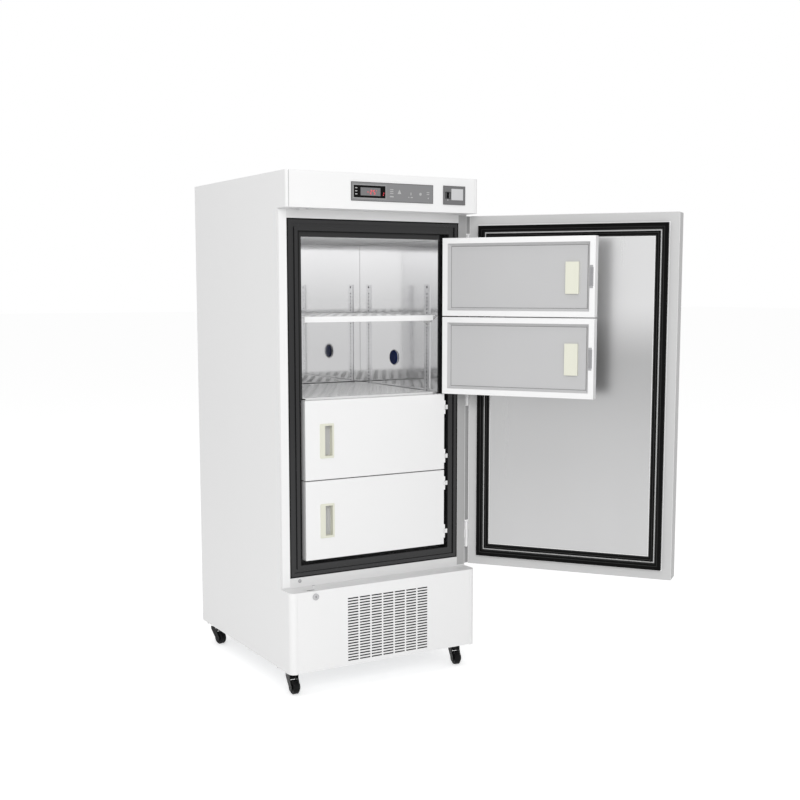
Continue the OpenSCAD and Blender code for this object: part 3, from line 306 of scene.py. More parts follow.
def stippled(name, color, rough, scale=400.0, mottle=0.02, strength=0.15, depth=0.0002,
             metallic=0.0, coat=0.0, specular=0.5):
    """Enamel, moulded plastic, rubber: one colour with a fine grain."""
    return bpy.data.materials.get(name) or grained(
        name, "Stipple",
        {"Scale": scale, "Mottle": mottle, "Base": (*color, 1.0), "Rough": rough},
        {"Metallic": metallic, "Coat Weight": coat, "Coat Roughness": 0.08,
         "Specular IOR Level": specular}, strength, depth)[0]


def gray(name, tone, rough, **more):
    """Neutral stippled material of one tone."""
    return stippled(name, (tone, tone, tone), rough, **more)


def drawn_metal(name, color, rough, along):
    """Rolled or polished sheet with faint lines."""
    return bpy.data.materials.get(name) or grained(
        name, "Brushing", {"Along": along, "Base": (*color, 1.0), "Rough": rough, "Swing": 0.1},
        {"Metallic": 1.0}, 0.04, 0.0001)[0]


def steel_with_painted_light(name, low, high, tones, rough, swing, blend="EASE"):
    """Sheet with faint drawn lines, its tone set by height as (share of height, tone) pairs, which
    paint the light, shade and reflection that fall on it.

    The first pair is the ramp's bottom, the second its top, the rest lie between.
    """
    m, grain = grained(name, "Brushing",
                       {"Along": (1.0, 1.0, 0.05), "Rough": rough, "Swing": swing},
                       {"Metallic": 1.0}, 0.02, 0.0001)
    tree = m.node_tree
    place = tree.nodes.new("ShaderNodeTexCoord")
    parts = add_node(tree, "ShaderNodeSeparateXYZ", {0: place.outputs["Object"]})
    up = add_node(tree, "ShaderNodeMapRange",
                  {"From Min": low, "From Max": high, "Value": parts.outputs["Z"]})
    ramp = add_node(tree, "ShaderNodeValToRGB", {"Fac": up.outputs["Result"]})
    ramp.color_ramp.interpolation = blend
    for i, (at, tone) in enumerate(tones):
        stop = ramp.color_ramp.elements[i] if i < 2 else ramp.color_ramp.elements.new(at)
        stop.position = at
        stop.color = (tone, tone, tone * 1.005, 1)
    tree.links.new(ramp.outputs["Color"], grain.inputs["Base"])
    return m


def lit(name, color, strength):
    """Plastic that glows in its own colour."""
    m, shader = start_material(name)
    shader.inputs["Base Color"].default_value = (*color, 1.0)
    shader.inputs["Roughness"].default_value = 0.4
    shader.inputs["Emission Color"].default_value = (*color, 1.0)
    shader.inputs["Emission Strength"].default_value = strength
    return m


def zinc_sheet():
    """Zinc coating with its crystal pattern."""
    old = bpy.data.materials.get("Zinc sheet")
    if old:
        return old
    m, shader = start_material("Zinc sheet")
    tree = m.node_tree
    place = tree.nodes.new("ShaderNodeTexCoord").outputs["Object"]
    crystals = add_node(tree, "ShaderNodeTexVoronoi", {"Scale": 70.0, "Vector": place})
    ramp = add_node(tree, "ShaderNodeValToRGB", {"Fac": crystals.outputs["Color"]})
    ramp.color_ramp.elements[0].color = (0.42, 0.43, 0.44, 1)
    ramp.color_ramp.elements[1].color = (0.58, 0.59, 0.60, 1)
    rough = add_node(tree, "ShaderNodeMapRange",
                     {"To Min": 0.35, "To Max": 0.55, "Value": crystals.outputs["Color"]})
    tree.links.new(ramp.outputs["Color"], shader.inputs["Base Color"])
    tree.links.new(rough.outputs["Result"], shader.inputs["Roughness"])
    shader.inputs["Metallic"].default_value = 0.8
    return m


def ray_is(tree, *kinds):
    """Output that is 1 for rays of the named kinds."""
    path = tree.nodes.new("ShaderNodeLightPath").outputs
    value = path[kinds[0]]
    for kind in kinds[1:]:
        value = add_node(tree, "ShaderNodeMath", {0: value, 1: path[kind]}, "MAXIMUM").outputs[0]
    return value


def enamel():
    return stippled("White enamel", finishes().enamel, 0.32, scale=900.0, mottle=0.015,
                    strength=0.05, depth=0.0001, coat=0.1)


def foam():
    return stippled("Rigid foam", (0.72, 0.66, 0.48), 0.85, scale=250.0, mottle=0.1,
                    strength=0.5, depth=0.0006)


def screw_steel():
    return drawn_metal("Screw steel", (0.62, 0.62, 0.63), 0.3, (20.0, 1.0, 1.0))


# Black for slots: painted shade where the inside of a slot would be dark.
def painted_slot_shade():
    return gray("Painted slot shade", 0.006, 0.6, specular=0.1)


# ---------------- mesh helpers

def soften(node, width):
    """Rounds a carried-over piece's edges without touching its own mesh."""
    o = NODES[node]
    weld = o.modifiers.new("Join", "WELD")
    weld.merge_threshold = 0.00001
    bevel = o.modifiers.new("Round", "BEVEL")
    bevel.width = width
    bevel.segments = 2
    bevel.limit_method = "ANGLE"
    bevel.angle_limit = math.radians(50)


def dress(material, *nodes):
    """Gives carried-over pieces one material."""
    for node in nodes:
        slots = NODES[node].data.materials
        slots.clear()
        slots.append(material)


def mesh_object(bm, name, material):
    """Object made from a mesh that is under construction."""
    me = bpy.data.meshes.new(name)
    bm.to_mesh(me)
    bm.free()
    o = bpy.data.objects.new(name, me)
    bpy.context.scene.collection.objects.link(o)
    o.data.materials.append(material)
    return o


def piece(bm, name, material, body="cabinet"):
    """Piece made from a mesh, riding a body."""
    bmesh.ops.recalc_face_normals(bm, faces=bm.faces[:])
    o = mesh_object(bm, name, material)
    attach(o, body)


def add_block(bm, lo, hi, turn=None):
    """Closed box between two corners."""
    vs = [bm.verts.new((x, y, z))
          for x in (lo[0], hi[0]) for y in (lo[1], hi[1]) for z in (lo[2], hi[2])]
    for f in ((0, 1, 3, 2), (4, 6, 7, 5), (0, 4, 5, 1), (2, 3, 7, 6), (0, 2, 6, 4), (1, 5, 7, 3)):
        bm.faces.new([vs[i] for i in f])
    if turn:
        for v in vs:
            v.co = turn @ v.co
    return vs


def add_plate(bm, x0, x1, z0, z1, y0, y1):
    """Block that faces the front, by its width, height and depth."""
    add_block(bm, (x0, y0, z0), (x1, y1, z1))


def add_ring(bm, x0, x1, z0, z1, t, y0, y1, turn=None):
    """Four strips of width t along the inside of a rectangle that faces the front."""
    add_block(bm, (x0, y0, z0), (x1, y1, z0 + t), turn)
    add_block(bm, (x0, y0, z1 - t), (x1, y1, z1), turn)
    add_block(bm, (x0, y0, z0 + t), (x0 + t, y1, z1 - t), turn)
    add_block(bm, (x1 - t, y0, z0 + t), (x1, y1, z1 - t), turn)


def ring_round(bm, node, out, t, y0, y1):
    """Ring of width t round a carried-over piece, its outer edge that far outside the piece."""
    lo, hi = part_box(node)
    add_ring(bm, lo.x - out, hi.x + out, lo.z - out, hi.z + out, t, y0, y1)


def facing(where, towards):
    """Matrix that sets a turned form's axis along a direction."""
    turned = Vector(towards).to_track_quat("Z", "Y").to_matrix().to_4x4()
    return Matrix.Translation(where) @ turned


def add_lathe(bm, profile, place, steps=24):
    """Turned form from (radius, height) pairs that start and end on the axis, set by a matrix."""
    rings = []
    for r, h in profile:
        if r < 1e-7:
            rings.append([bm.verts.new(place @ Vector((0, 0, h)))])
        else:
            rings.append([bm.verts.new(place @ Vector((r * math.cos(a), r * math.sin(a), h)))
                          for a in (2 * math.pi * i / steps for i in range(steps))])
    for a, b in zip(rings, rings[1:]):
        for i in range(steps):
            j = (i + 1) % steps
            if len(a) == 1:
                bm.faces.new((a[0], b[i], b[j]))
            elif len(b) == 1:
                bm.faces.new((a[i], b[0], a[j]))
            else:
                bm.faces.new((a[i], b[i], b[j], a[j]))


def add_disc(bm, x, z, r, y0, y1):
    """Round plate that faces the front."""
    upright = Matrix(((1, 0, 0, 0), (0, 0, 1, 0), (0, 1, 0, 0), (0, 0, 0, 1)))
    add_lathe(bm, [(0, y0), (r, y0), (r, y1), (0, y1)], Matrix.Translation((x, 0, z)) @ upright)


def add_triangle(bm, x, z, r, y0, y1):
    """Plate that faces the front, with one corner up."""
    pts = [(x, z + r), (x - r * 0.8, z - r * 0.6), (x + r * 0.8, z - r * 0.6)]
    a = [bm.verts.new((p[0], y0, p[1])) for p in pts]
    b = [bm.verts.new((p[0], y1, p[1])) for p in pts]
    bm.faces.new(a)
    bm.faces.new(b[::-1])
    for i in range(3):
        j = (i + 1) % 3
        bm.faces.new((a[i], b[i], b[j], a[j]))


def add_screw(bm, where, towards, r, turn=None):
    """Domed screw head with a raised cross, its seat at the given point."""
    place = facing(where, towards)
    if turn:
        place = turn @ place
    h = r * 0.45
    add_lathe(bm, [(0, -0.0003), (r, -0.0003), (r, h * 0.35), (r * 0.82, h * 0.8),
                   (r * 0.45, h), (0, h)], place, steps=20)
    for a, b in ((0.5, 0.11), (0.11, 0.5)):
        for v in add_block(bm, (-r * a, -r * b, h * 0.9), (r * a, r * b, h * 1.06)):
            v.co = place @ v.co


def opened(joint, degrees):
    """Matrix that carries closed coordinates to the open rest pose."""
    p = Vector(JOINTS[joint]["pos_m"])
    turned = Matrix.Rotation(math.radians(degrees), 4, "Z")
    return Matrix.Translation(p) @ turned @ Matrix.Translation(-p)


def door_turn():
    return opened("main_door_hinge", DOOR_OPEN)


def inner_turn(k):
    return opened("inner_%d_hinge" % k, INNER_OPEN) if k <= 2 else Matrix.Identity(4)


def closed_inner(k):
    """Corners of a closed inner door, taken from the third one, which rests closed."""
    lo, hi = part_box("inner_door_3")
    hi.x = -lo.x
    lo.y += 0.0015
    drop = JOINTS["inner_%d_hinge" % k]["pos_m"][2] - JOINTS["inner_3_hinge"]["pos_m"][2]
    up = Vector((0, 0, drop))
    return lo + up, hi + up


# ---------------- operators

class FREEZER_OT_cabinet(bpy.types.Operator):
    """Enamel, zinc and foam of the cabinet's shell"""
    bl_idname = "freezer.cabinet"
    bl_label = "Cabinet shell"

    def execute(self, context):
        dress(enamel(), "left_side_panel", "right_side_panel", "top_panel", "header_cover",
              "grille_panel")
        # The surround and the sill take a grayer enamel than the cabinet: painted shade under the
        # header and beside the open door.
        dress(stippled("Surround enamel with painted shade", finishes().surround, 0.34, scale=900.0, mottle=0.015,
                       strength=0.05, depth=0.0001, coat=0.1), "front_surround", "door_sill")
        dress(zinc_sheet(), "back_panel", "base_frame", "condenser")
        dress(foam(), "insulation")
        for n in ("header_cover", "front_surround", "door_sill"):
            soften(n, sizes().edge_round)
        self.front_trim()
        self.frame_lines_and_gap_shade()
        self.sill_trim()
        self.filter_mat()
        self.back_trim()
        return {"FINISHED"}

    def front_trim(self):
        """Seam of the header, pale flange at the free side, and a gray plate at the hinge side that
        is painted shade.
        """
        lo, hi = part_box("header_cover")
        frame_lo, frame_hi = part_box("breaker_frame")
        beside = (frame_lo.z - 0.028, frame_hi.z + 0.026, BODY_FACE - 0.00025, BODY_FACE + SINK)
        bm = bmesh.new()
        add_plate(bm, SEAM_X - 0.0006, SEAM_X + 0.0006, lo.z + 0.001, hi.z - 0.001,
                  lo.y - 0.0001, lo.y + SINK)
        piece(bm, "header_seam", gray("Seam shade", 0.30, 0.6, specular=0.1))
        bm = bmesh.new()
        add_plate(bm, lo.x + 0.0025, SEAM_X - 0.0012, lo.z + 0.001, hi.z - 0.001,
                  lo.y - 0.00025, lo.y + SINK)
        add_plate(bm, lo.x + 0.003, frame_lo.x - 0.0012, *beside)
        piece(bm, "side_flange", enamel())
        # Gray plate on the surround at the hinge side: painted shade from the open door.
        bm = bmesh.new()
        add_plate(bm, frame_hi.x + 0.0008, -lo.x - 0.0006, *beside)
        piece(bm, "hinge_side_shade",
              gray("Painted stile shade", 0.42, 0.36, scale=900.0, mottle=0.02, strength=0.05))

    def frame_lines_and_gap_shade(self):
        """Black lines along the dark frame's outer edge and along its rebate; the one at the rebate
        is painted shade in the gap beside the inner doors.
        """
        lo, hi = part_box("breaker_frame")
        y0, y1 = lo.y - 0.00018, lo.y + SINK
        bead = 0.003
        x, step = REBATE_X + bead, -REBATE_X - lo.x
        bm = bmesh.new()
        add_ring(bm, lo.x, hi.x, lo.z, hi.z, 0.0038, y0, y1)
        # The black line at the rebate is painted shade of the gap there.
        add_ring(bm, -x, x, lo.z + step - bead, hi.z - step + bead, bead, y0, y1)
        piece(bm, "frame_lines_and_gap_shade", gray("Frame line black and gap shade", 0.004, 0.5, specular=0.1))

    def sill_trim(self):
        """Studs on the surround and the sill, and a black block in the sill keeper's slot that is
        painted shade.
        """
        bm = bmesh.new()
        add_lathe(bm, [(0, -0.0005), (0.0062, -0.0005), (0.0060, 0.0012), (0.0042, 0.0036),
                       (0, 0.0046)],
                  facing((STUD_AT[0], BODY_FACE, STUD_AT[1]), (0, -1, 0)), steps=28)
        add_lathe(bm, [(0, -0.0005), (0.0045, -0.0005), (0.0045, 0.0030), (0.0034, 0.0044),
                       (0, 0.0048)],
                  facing((*SMALL_STUD_AT, SILL_Z), (0, 0, 1)), steps=28)
        piece(bm, "sill_studs", stippled("Stud gray", (0.42, 0.42, 0.43), 0.4))
        bm = bmesh.new()
        # Black block: painted shade inside the keeper's slot.
        add_block(bm, (*KEEPER[0], SILL_Z - 0.0008), (*KEEPER[1], SILL_Z + 0.0002))
        piece(bm, "keeper_slot_shade", painted_slot_shade())

    def filter_mat(self):
        """Dark fibre mat with upright ribs behind the slotted field."""
        x0, x1, z0, z1 = GRILLE_FIELD
        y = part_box("grille_panel")[0].y + 0.0022
        bm = bmesh.new()
        add_plate(bm, x0 - 0.006, x1 + 0.006, z0 - 0.006, z1 + 0.006, y, y + 0.005)
        for i in range(1, GRILLE_COLUMNS):
            x = x0 + (x1 - x0) * i / GRILLE_COLUMNS
            add_plate(bm, x - 0.001, x + 0.001, z0 - 0.004, z1 + 0.004, y + 0.0045, y + 0.0065)
        piece(bm, "filter_mat",
              gray("Filter black", 0.012, 0.9, scale=900.0, mottle=0.6, strength=0.8,
                   depth=0.001, specular=0.1))

    def back_trim(self):
        """Screws of the rear sheets."""
        places = [(sx * BACK_SCREW_X, z) for z in BACK_SCREW_ZS for sx in (-1, 1)]
        places += [(x + shift, z) for x in ROW_SCREW_XS for shift, z in SCREW_ROWS]
        places += [(BACK_SCREW_X, z) for z in LOW_SCREW_ZS]
        bm = bmesh.new()
        for x, z in places:
            add_screw(bm, (x, BACK_FACE, z), (0, 1, 0), sizes().screw_radius)
        piece(bm, "back_screws", screw_steel())


class FREEZER_OT_cavity(bpy.types.Operator):
    """Polished liner, rails, clips and shelves of the cold space"""
    bl_idname = "freezer.cavity"
    bl_label = "Cold space"

    def execute(self, context):
        # The tones by height are painted light and shade on the walls; the pale band just under the
        # ceiling is a painted highlight.
        dress(steel_with_painted_light("Polished liner with painted light", 0.433, 1.465, (
            (0.0, 0.78), (1.0, 0.62), (0.60, 0.76), (0.80, 0.80), (0.985, 0.93), (0.9975, 0.94),
            (0.9985, 0.60)), 0.06, 0.04, blend="LINEAR"), "cavity_liner")
        dress(drawn_metal("Rail steel", (0.74, 0.74, 0.75), 0.22, (1.0, 1.0, 0.05)),
              "shelf_rails")
        dress(gray("Shelf coating", 0.93, 0.3, scale=700.0, strength=0.08, coat=0.4), "shelves")
        dress(gray("Clip coating", 0.93, 0.3, scale=700.0, strength=0.08), "shelf_clips")
        dress(stippled("Dark profile", finishes().dark_profile, 0.07, scale=300.0, mottle=0.1,
                       strength=0.01, specular=0.42), "breaker_frame")
        navy = stippled("Navy plug", finishes().plug_blue, 0.5, scale=500.0, mottle=0.1,
                        specular=0.12)
        dress(navy, "port_plug")
        self.plug_cap(navy)
        self.rail_shade()
        self.liner_sheets()
        return {"FINISHED"}

    def plug_cap(self, navy):
        """Rounded face of the port's plug, with its thin pale washer."""
        lo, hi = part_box("port_plug")
        r = (hi.z - lo.z) / 2 + 0.0015
        place = facing((CAVITY_HALF, (lo.y + hi.y) / 2, (lo.z + hi.z) / 2), (-1, 0, 0))
        bm = bmesh.new()
        add_lathe(bm, [(0, -0.0005), (r, -0.0005), (r, 0.0042), (r * 0.94, 0.0060),
                       (r * 0.80, 0.0068), (r * 0.40, 0.0072), (0, 0.0073)], place, steps=64)
        piece(bm, "plug_cap", navy)
        bm = bmesh.new()
        add_lathe(bm, [(0, -0.0004), (r + 0.0022, -0.0004), (r + 0.0022, 0.0008),
                       (r + 0.0012, 0.0012), (0, 0.0012)], place, steps=64)
        piece(bm, "plug_washer", gray("Washer pale", 0.85, 0.35))

    def rail_shade(self):
        """Dark filling of the slots and of the round hole in each rail."""
        sideways = Matrix.Rotation(math.pi / 2, 4, "Y")
        bm = bmesh.new()
        for sx in (-1, 1):
            a, b = sorted((sx * (CAVITY_HALF - 0.0018), sx * (CAVITY_HALF + 0.0001)))
            for y in RAIL_YS:
                for i in range(SLOT_COUNT):
                    z = SLOT_LOW + SLOT_PITCH * i
                    add_block(bm, (a, y - SLOT_HALF_WIDTH, z - SLOT_HALF_HEIGHT),
                              (b, y + SLOT_HALF_WIDTH, z + SLOT_HALF_HEIGHT))
                add_lathe(bm, [(0, a), (RAIL_HOLE_RADIUS, a), (RAIL_HOLE_RADIUS, b), (0, b)],
                          Matrix.Translation((0, y, RAIL_HOLE_Z)) @ sideways)
        piece(bm, "rail_shade", gray("Hollow black", 0.006, 0.8, specular=0.05))

    def liner_sheets(self):
        """Thin upright folds where the liner's sheets meet, and a pale matt sheet at its ceiling
        whose tone is painted light on a ceiling that lies in the frame's shade.
        """
        x, y, t = CAVITY_HALF, CAVITY_BACK, FOLD
        bm = bmesh.new()
        for sx in (-1, 1):
            a, b = sorted((sx * x, sx * (x - t)))
            add_block(bm, (a, y - t, CAVITY_LOW), (b, y + 0.0001, CAVITY_HIGH))
        piece(bm, "liner_folds", stippled("Fold gray", (0.60, 0.60, 0.61), 0.5))
        # Pale matt sheet: painted light on the shaded ceiling.
        bm = bmesh.new()
        add_block(bm, (-x + t, CAVITY_MOUTH, CAVITY_HIGH - 0.0006),
                  (x - t, y - t, CAVITY_HIGH + 0.0002))
        piece(bm, "ceiling_painted_light",
              stippled("Ceiling satin painted light", (0.90, 0.90, 0.905), 0.5, scale=900.0, mottle=0.03,
                       strength=0.05, specular=0.15))


class FREEZER_OT_controls(bpy.types.Operator):
    """Control panel, display, switch and lock"""
    bl_idname = "freezer.controls"
    bl_label = "Controls"

    def execute(self, context):
        for name, color, nodes in (
                ("Panel gray", finishes().panel_gray, ("control_panel", "control_box")),
                ("Plate gray", finishes().plate_gray, ("switch_plate",))):
            dress(stippled(name, color, 0.5, scale=1200.0, mottle=0.04, strength=0.1,
                           specular=0.25), *nodes)
        dress(gray("Gloss black", 0.004, 0.25, mottle=0.05, strength=0.02, specular=0.08),
              "display_window", "rocker_switch", "power_inlet")
        dress(stippled("Switch gray", (0.60, 0.60, 0.61), 0.4), "door_switch")
        dress(drawn_metal("Satin chrome", (0.46, 0.46, 0.47), 0.3, (1.0, 30.0, 1.0)),
              "lock_ring", "key_lock")
        pale = gray("Print pale", 0.46, 0.5, specular=0.25)
        self.display()
        self.panel_prints(pale)
        self.switch_trim(pale)
        self.key_slot_shade()
        return {"FINISHED"}

    def display(self):
        """Glass of the display with its digits, and the marks and lamps beside it."""
        lo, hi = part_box("display_window")
        x0, x1 = lo.x + 0.0245, lo.x + 0.0965
        z0, z1 = lo.z + 0.0064, lo.z + 0.0316
        bm = bmesh.new()
        add_plate(bm, x0, x1, z0, z1, lo.y + 0.0002, lo.y + 0.0012)
        piece(bm, "lcd_glass",
              stippled("Display glass", (0.19, 0.19, 0.195), 0.3, strength=0.02,
                       specular=0.2))
        red = lit("Digit red", finishes().digit_red, 0.6)
        h = sizes().digit_height
        x, zc = x0 + 0.0335, (z0 + z1) / 2 - 0.0015
        y0, y1 = lo.y - 0.00005, lo.y + PRINT_SINK
        bm = bmesh.new()
        for strokes, shift in FIGURES:
            self.segments(bm, strokes, x + shift, zc, h, y0, y1)
        top = zc + h / 2
        add_plate(bm, x + 0.0225, x + 0.0245, top - 0.003, top - 0.001, y0, y1)
        piece(bm, "display_digits", red)
        y0 = lo.y - 0.0001
        bm = bmesh.new()
        for i in range(3):
            z = hi.z - 0.0085 - i * 0.0095
            add_plate(bm, lo.x + 0.005, lo.x + 0.0125, z - 0.0012, z + 0.0012, y0, y1)
        piece(bm, "display_marks", gray("Print gray", 0.55, 0.5))
        bm = bmesh.new()
        add_plate(bm, hi.x - 0.0085, hi.x - 0.006, z0 + 0.002, z0 + 0.0045, y0, y1)
        add_plate(bm, hi.x - 0.0065, hi.x - 0.0045, z0 + 0.007, z0 + 0.011, y0, y1)
        piece(bm, "display_lamps", red)

    def segments(self, bm, strokes, x, zc, h, y0, y1):
        """Seven-segment figure of height h round the height zc, its left edge at x."""
        w, t = h * 0.55, h * 0.13
        where = {
            "a": (x + t, x + w - t, zc + h / 2 - t, zc + h / 2),
            "g": (x + t, x + w - t, zc - t / 2, zc + t / 2),
            "d": (x + t, x + w - t, zc - h / 2, zc - h / 2 + t),
            "f": (x, x + t, zc + t * 0.6, zc + h / 2 - t * 0.4),
            "b": (x + w - t, x + w, zc + t * 0.6, zc + h / 2 - t * 0.4),
            "e": (x, x + t, zc - h / 2 + t * 0.4, zc - t * 0.6),
            "c": (x + w - t, x + w, zc - h / 2 + t * 0.4, zc - t * 0.6),
        }
        for s in strokes:
            add_plate(bm, *where[s], y0, y1)

    def panel_prints(self, pale):
        """Rim of the display, borders of both plates and signs on the keys, all without words."""
        lo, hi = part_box("control_panel")
        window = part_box("display_window")[1].x
        y0, y1 = lo.y - 0.00012, lo.y + PRINT_SINK
        bm = bmesh.new()
        ring_round(bm, "display_window", 0.0026, 0.0010, y0, y1)
        piece(bm, "display_rim", pale)
        bm = bmesh.new()
        for n in ("control_panel", "switch_plate"):
            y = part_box(n)[0].y
            ring_round(bm, n, -0.0002, 0.0016, y - 0.0001, y + PRINT_SINK)
        piece(bm, "panel_border",
              stippled("Border gray", (0.11, 0.11, 0.112), 0.5, specular=0.2))
        zc = (lo.z + hi.z) / 2 - 0.002
        xs = [window + (hi.x - window) * share for share in KEY_SHARES]
        bm = bmesh.new()
        for x, bars in zip(xs, KEY_BARS):
            for left, right, foot, head in bars:
                add_plate(bm, x + left, x + right, zc + foot, zc + head, y0, y1)
        add_triangle(bm, xs[1], zc + 0.004, 0.0085, y0, y1)
        add_disc(bm, xs[3], zc + 0.001, 0.0045, y0, y1)
        add_disc(bm, xs[4] + 0.001, zc - 0.011, 0.0022, y0, y1)
        piece(bm, "key_signs", pale)

    def switch_trim(self, pale):
        """Pale blank field, bezel round the rocker and the dot under it."""
        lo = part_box("switch_plate")[0]
        y1 = lo.y + PRINT_SINK
        bm = bmesh.new()
        add_plate(bm, lo.x + 0.0305, lo.x + 0.0757, lo.z + 0.0152, lo.z + 0.0515,
                  lo.y - 0.0004, y1)
        piece(bm, "blank_field",
              stippled("Field gray", (0.60, 0.60, 0.61), 0.5, mottle=0.06))
        bm = bmesh.new()
        ring_round(bm, "rocker_switch", 0.0022, 0.0014, lo.y - 0.0008, y1)
        piece(bm, "rocker_bezel", gray("Bezel black", 0.01, 0.45, specular=0.15))
        rocker_lo, rocker_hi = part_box("rocker_switch")
        bm = bmesh.new()
        add_disc(bm, (rocker_lo.x + rocker_hi.x) / 2, rocker_lo.z - 0.0065, 0.0021,
                 lo.y - 0.0003, y1)
        piece(bm, "switch_mark", pale)

    def key_slot_shade(self):
        """Key slot in the lock's barrel, drawn as black plates that are painted shade."""
        lo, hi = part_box("lock_ring")
        x, z = (lo.x + hi.x) / 2, (lo.z + hi.z) / 2
        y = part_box("key_lock")[0].y
        bm = bmesh.new()
        add_plate(bm, x - 0.0008, x + 0.0008, z - 0.0042, z + 0.0042, y - 0.0001, y + 0.0006)
        add_plate(bm, x - 0.0014, x + 0.0014, z - 0.0008, z + 0.0016, y - 0.0001, y + 0.0006)
        piece(bm, "key_slot_shade", painted_slot_shade(), "lock_barrel")


class FREEZER_OT_main_door(bpy.types.Operator):
    """Skin, liner panel, seals and handle of the main door"""
    bl_idname = "freezer.main_door"
    bl_label = "Main door"

    def execute(self, context):
        dress(enamel(), "door_skin", "door_hinges", "cabinet_hinges")
        dress(foam(), "door_core")
        # The tones by height are a painted reflection: pale at the top, darkest a little above the
        # middle, a little lighter again at the bottom.
        dress(steel_with_painted_light("Door liner steel with painted reflection", 0.42, 1.48, (
            (0.0, 0.47), (1.0, 0.72), (0.35, 0.455), (0.60, 0.43), (0.80, 0.71)), 0.28, 0.06),
            "door_liner")
        dress(gray("Seal black", 0.003, 0.45, scale=500.0, mottle=0.1, strength=0.1,
                   specular=0.06), "outer_seal", "inner_seal")
        dress(gray("Handle gray", 0.6, 0.35), "door_handle")
        soften("door_skin", 0.0012)
        soften("door_handle", 0.001)
        self.trim()
        self.hinge_strip()
        self.hinge_screws()
        return {"FINISHED"}

    def trim(self):
        """Gray trim round the inner side, its gray partly painted shade, and a gray band on the
        edges that is painted shade; pale strips between the seals, ridges and dark skirts of the
        seals.
        """
        fine = {"scale": 900.0, "mottle": 0.02, "strength": 0.06}
        # The trim's gray is partly painted shade on the door's inner side.
        self.rings("door_margin_and_shade",
                   stippled("Door trim gray and painted shade", finishes().door_margin_and_shade, 0.42, **fine),
                   "gray_plastic", (0.0008, 0.0284, -0.0002, 0.0004))
        # Gray band on the door's edges: painted shade on the white skin.
        self.edge_band(gray("Edge band painted shade", 0.46, 0.42, **fine))
        self.rings("seal_carrier", gray("Carrier pale", 0.66, 0.4, **fine), "gray_plastic",
                   (0.0547, 0.0040, -0.0002, 0.0016))
        self.rings("liner_bead", gray("Bead pale", 0.84, 0.3, scale=900.0), "gray_plastic",
                   (0.0748, 0.0026, 0.0002, 0.0019), (0.0293, 0.0035, -0.0002, 0.0010))
        lip = sizes().seal_lip
        self.rings("seal_ridges", gray("Ridge gray", 0.028, 0.5, specular=0.15), "seal_rubber",
                   (0.0448, lip, 0.0115, 0.01215), (0.0640, lip, 0.0057, 0.0064),
                   (0.0499, 0.0048, -0.0002, 0.0038), (0.0709, 0.0040, 0.0002, 0.0026))

    def rings(self, name, material, slot, *wanted):
        """Rings on the door's inner side: inset, width, near and far depth from its face."""
        bm = bmesh.new()
        for inset, width, near, far in wanted:
            add_ring(bm, -DOOR_HALF + inset, DOOR_HALF - inset, DOOR_LOW + inset,
                     DOOR_HIGH - inset, width, DOOR_IN + near, DOOR_IN + far, door_turn())
        piece(bm, name, material, "main_door")

    def edge_band(self, material):
        """Thin gray band on the door's free edge, its foot and its head, painted shade on the white
        skin.
        """
        turn = door_turn()
        x, z0, z1 = DOOR_HALF, DOOR_LOW, DOOR_HIGH
        y0, y1 = DOOR_OUT + 0.005, DOOR_IN - 0.0018
        bm = bmesh.new()
        add_block(bm, (-x - 0.0004, y0, z0 + 0.002), (-x + 0.0002, y1, z1 - 0.002), turn)
        add_block(bm, (-x + 0.002, y0, z0 - 0.0004), (x - 0.002, y1, z0 + 0.0002), turn)
        add_block(bm, (-x + 0.002, y0, z1 - 0.0002), (x - 0.002, y1, z1 + 0.0004), turn)
        piece(bm, "door_edge_shade", material, "main_door")

    def hinge_strip(self):
        """Cover strip on the cabinet's corner beside the door, in lengths between the hinges; its
        dark gray is painted shade in that corner.
        """
        ends = [end for z in HINGE_LOWS for end in (z - HINGE_GAP, z + HINGE_LEN + HINGE_GAP)]
        cuts = [DOOR_LOW, *ends, DOOR_HIGH]
        bm = bmesh.new()
        for z0, z1 in zip(cuts[::2], cuts[1::2]):
            for x0, x1, y0, y1 in STRIP_SECTION:
                add_plate(bm, DOOR_HALF + x0, DOOR_HALF + x1, z0, z1, BODY_FACE + y0,
                          BODY_FACE + y1)
        # The strip's dark gray is painted shade in the corner beside the open door.
        piece(bm, "hinge_strip",
              stippled("Strip gray painted shade", (0.36, 0.36, 0.362), 0.5, scale=900.0))

    def hinge_screws(self):
        """Screw heads in the leaves of the main door's hinges."""
        zs = [z + share * HINGE_LEN for z in HINGE_LOWS for share in (0.18, 0.82)]
        for name, y, body, turn in (
                ("cabinet_leaf_screws", BODY_FACE + 0.020, "cabinet", None),
                ("door_leaf_screws", DOOR_IN - 0.020, "main_door", door_turn())):
            bm = bmesh.new()
            for z in zs:
                add_screw(bm, (DOOR_HALF + LEAF, y, z), (1, 0, 0), 0.0021, turn)
            piece(bm, name, screw_steel(), body)


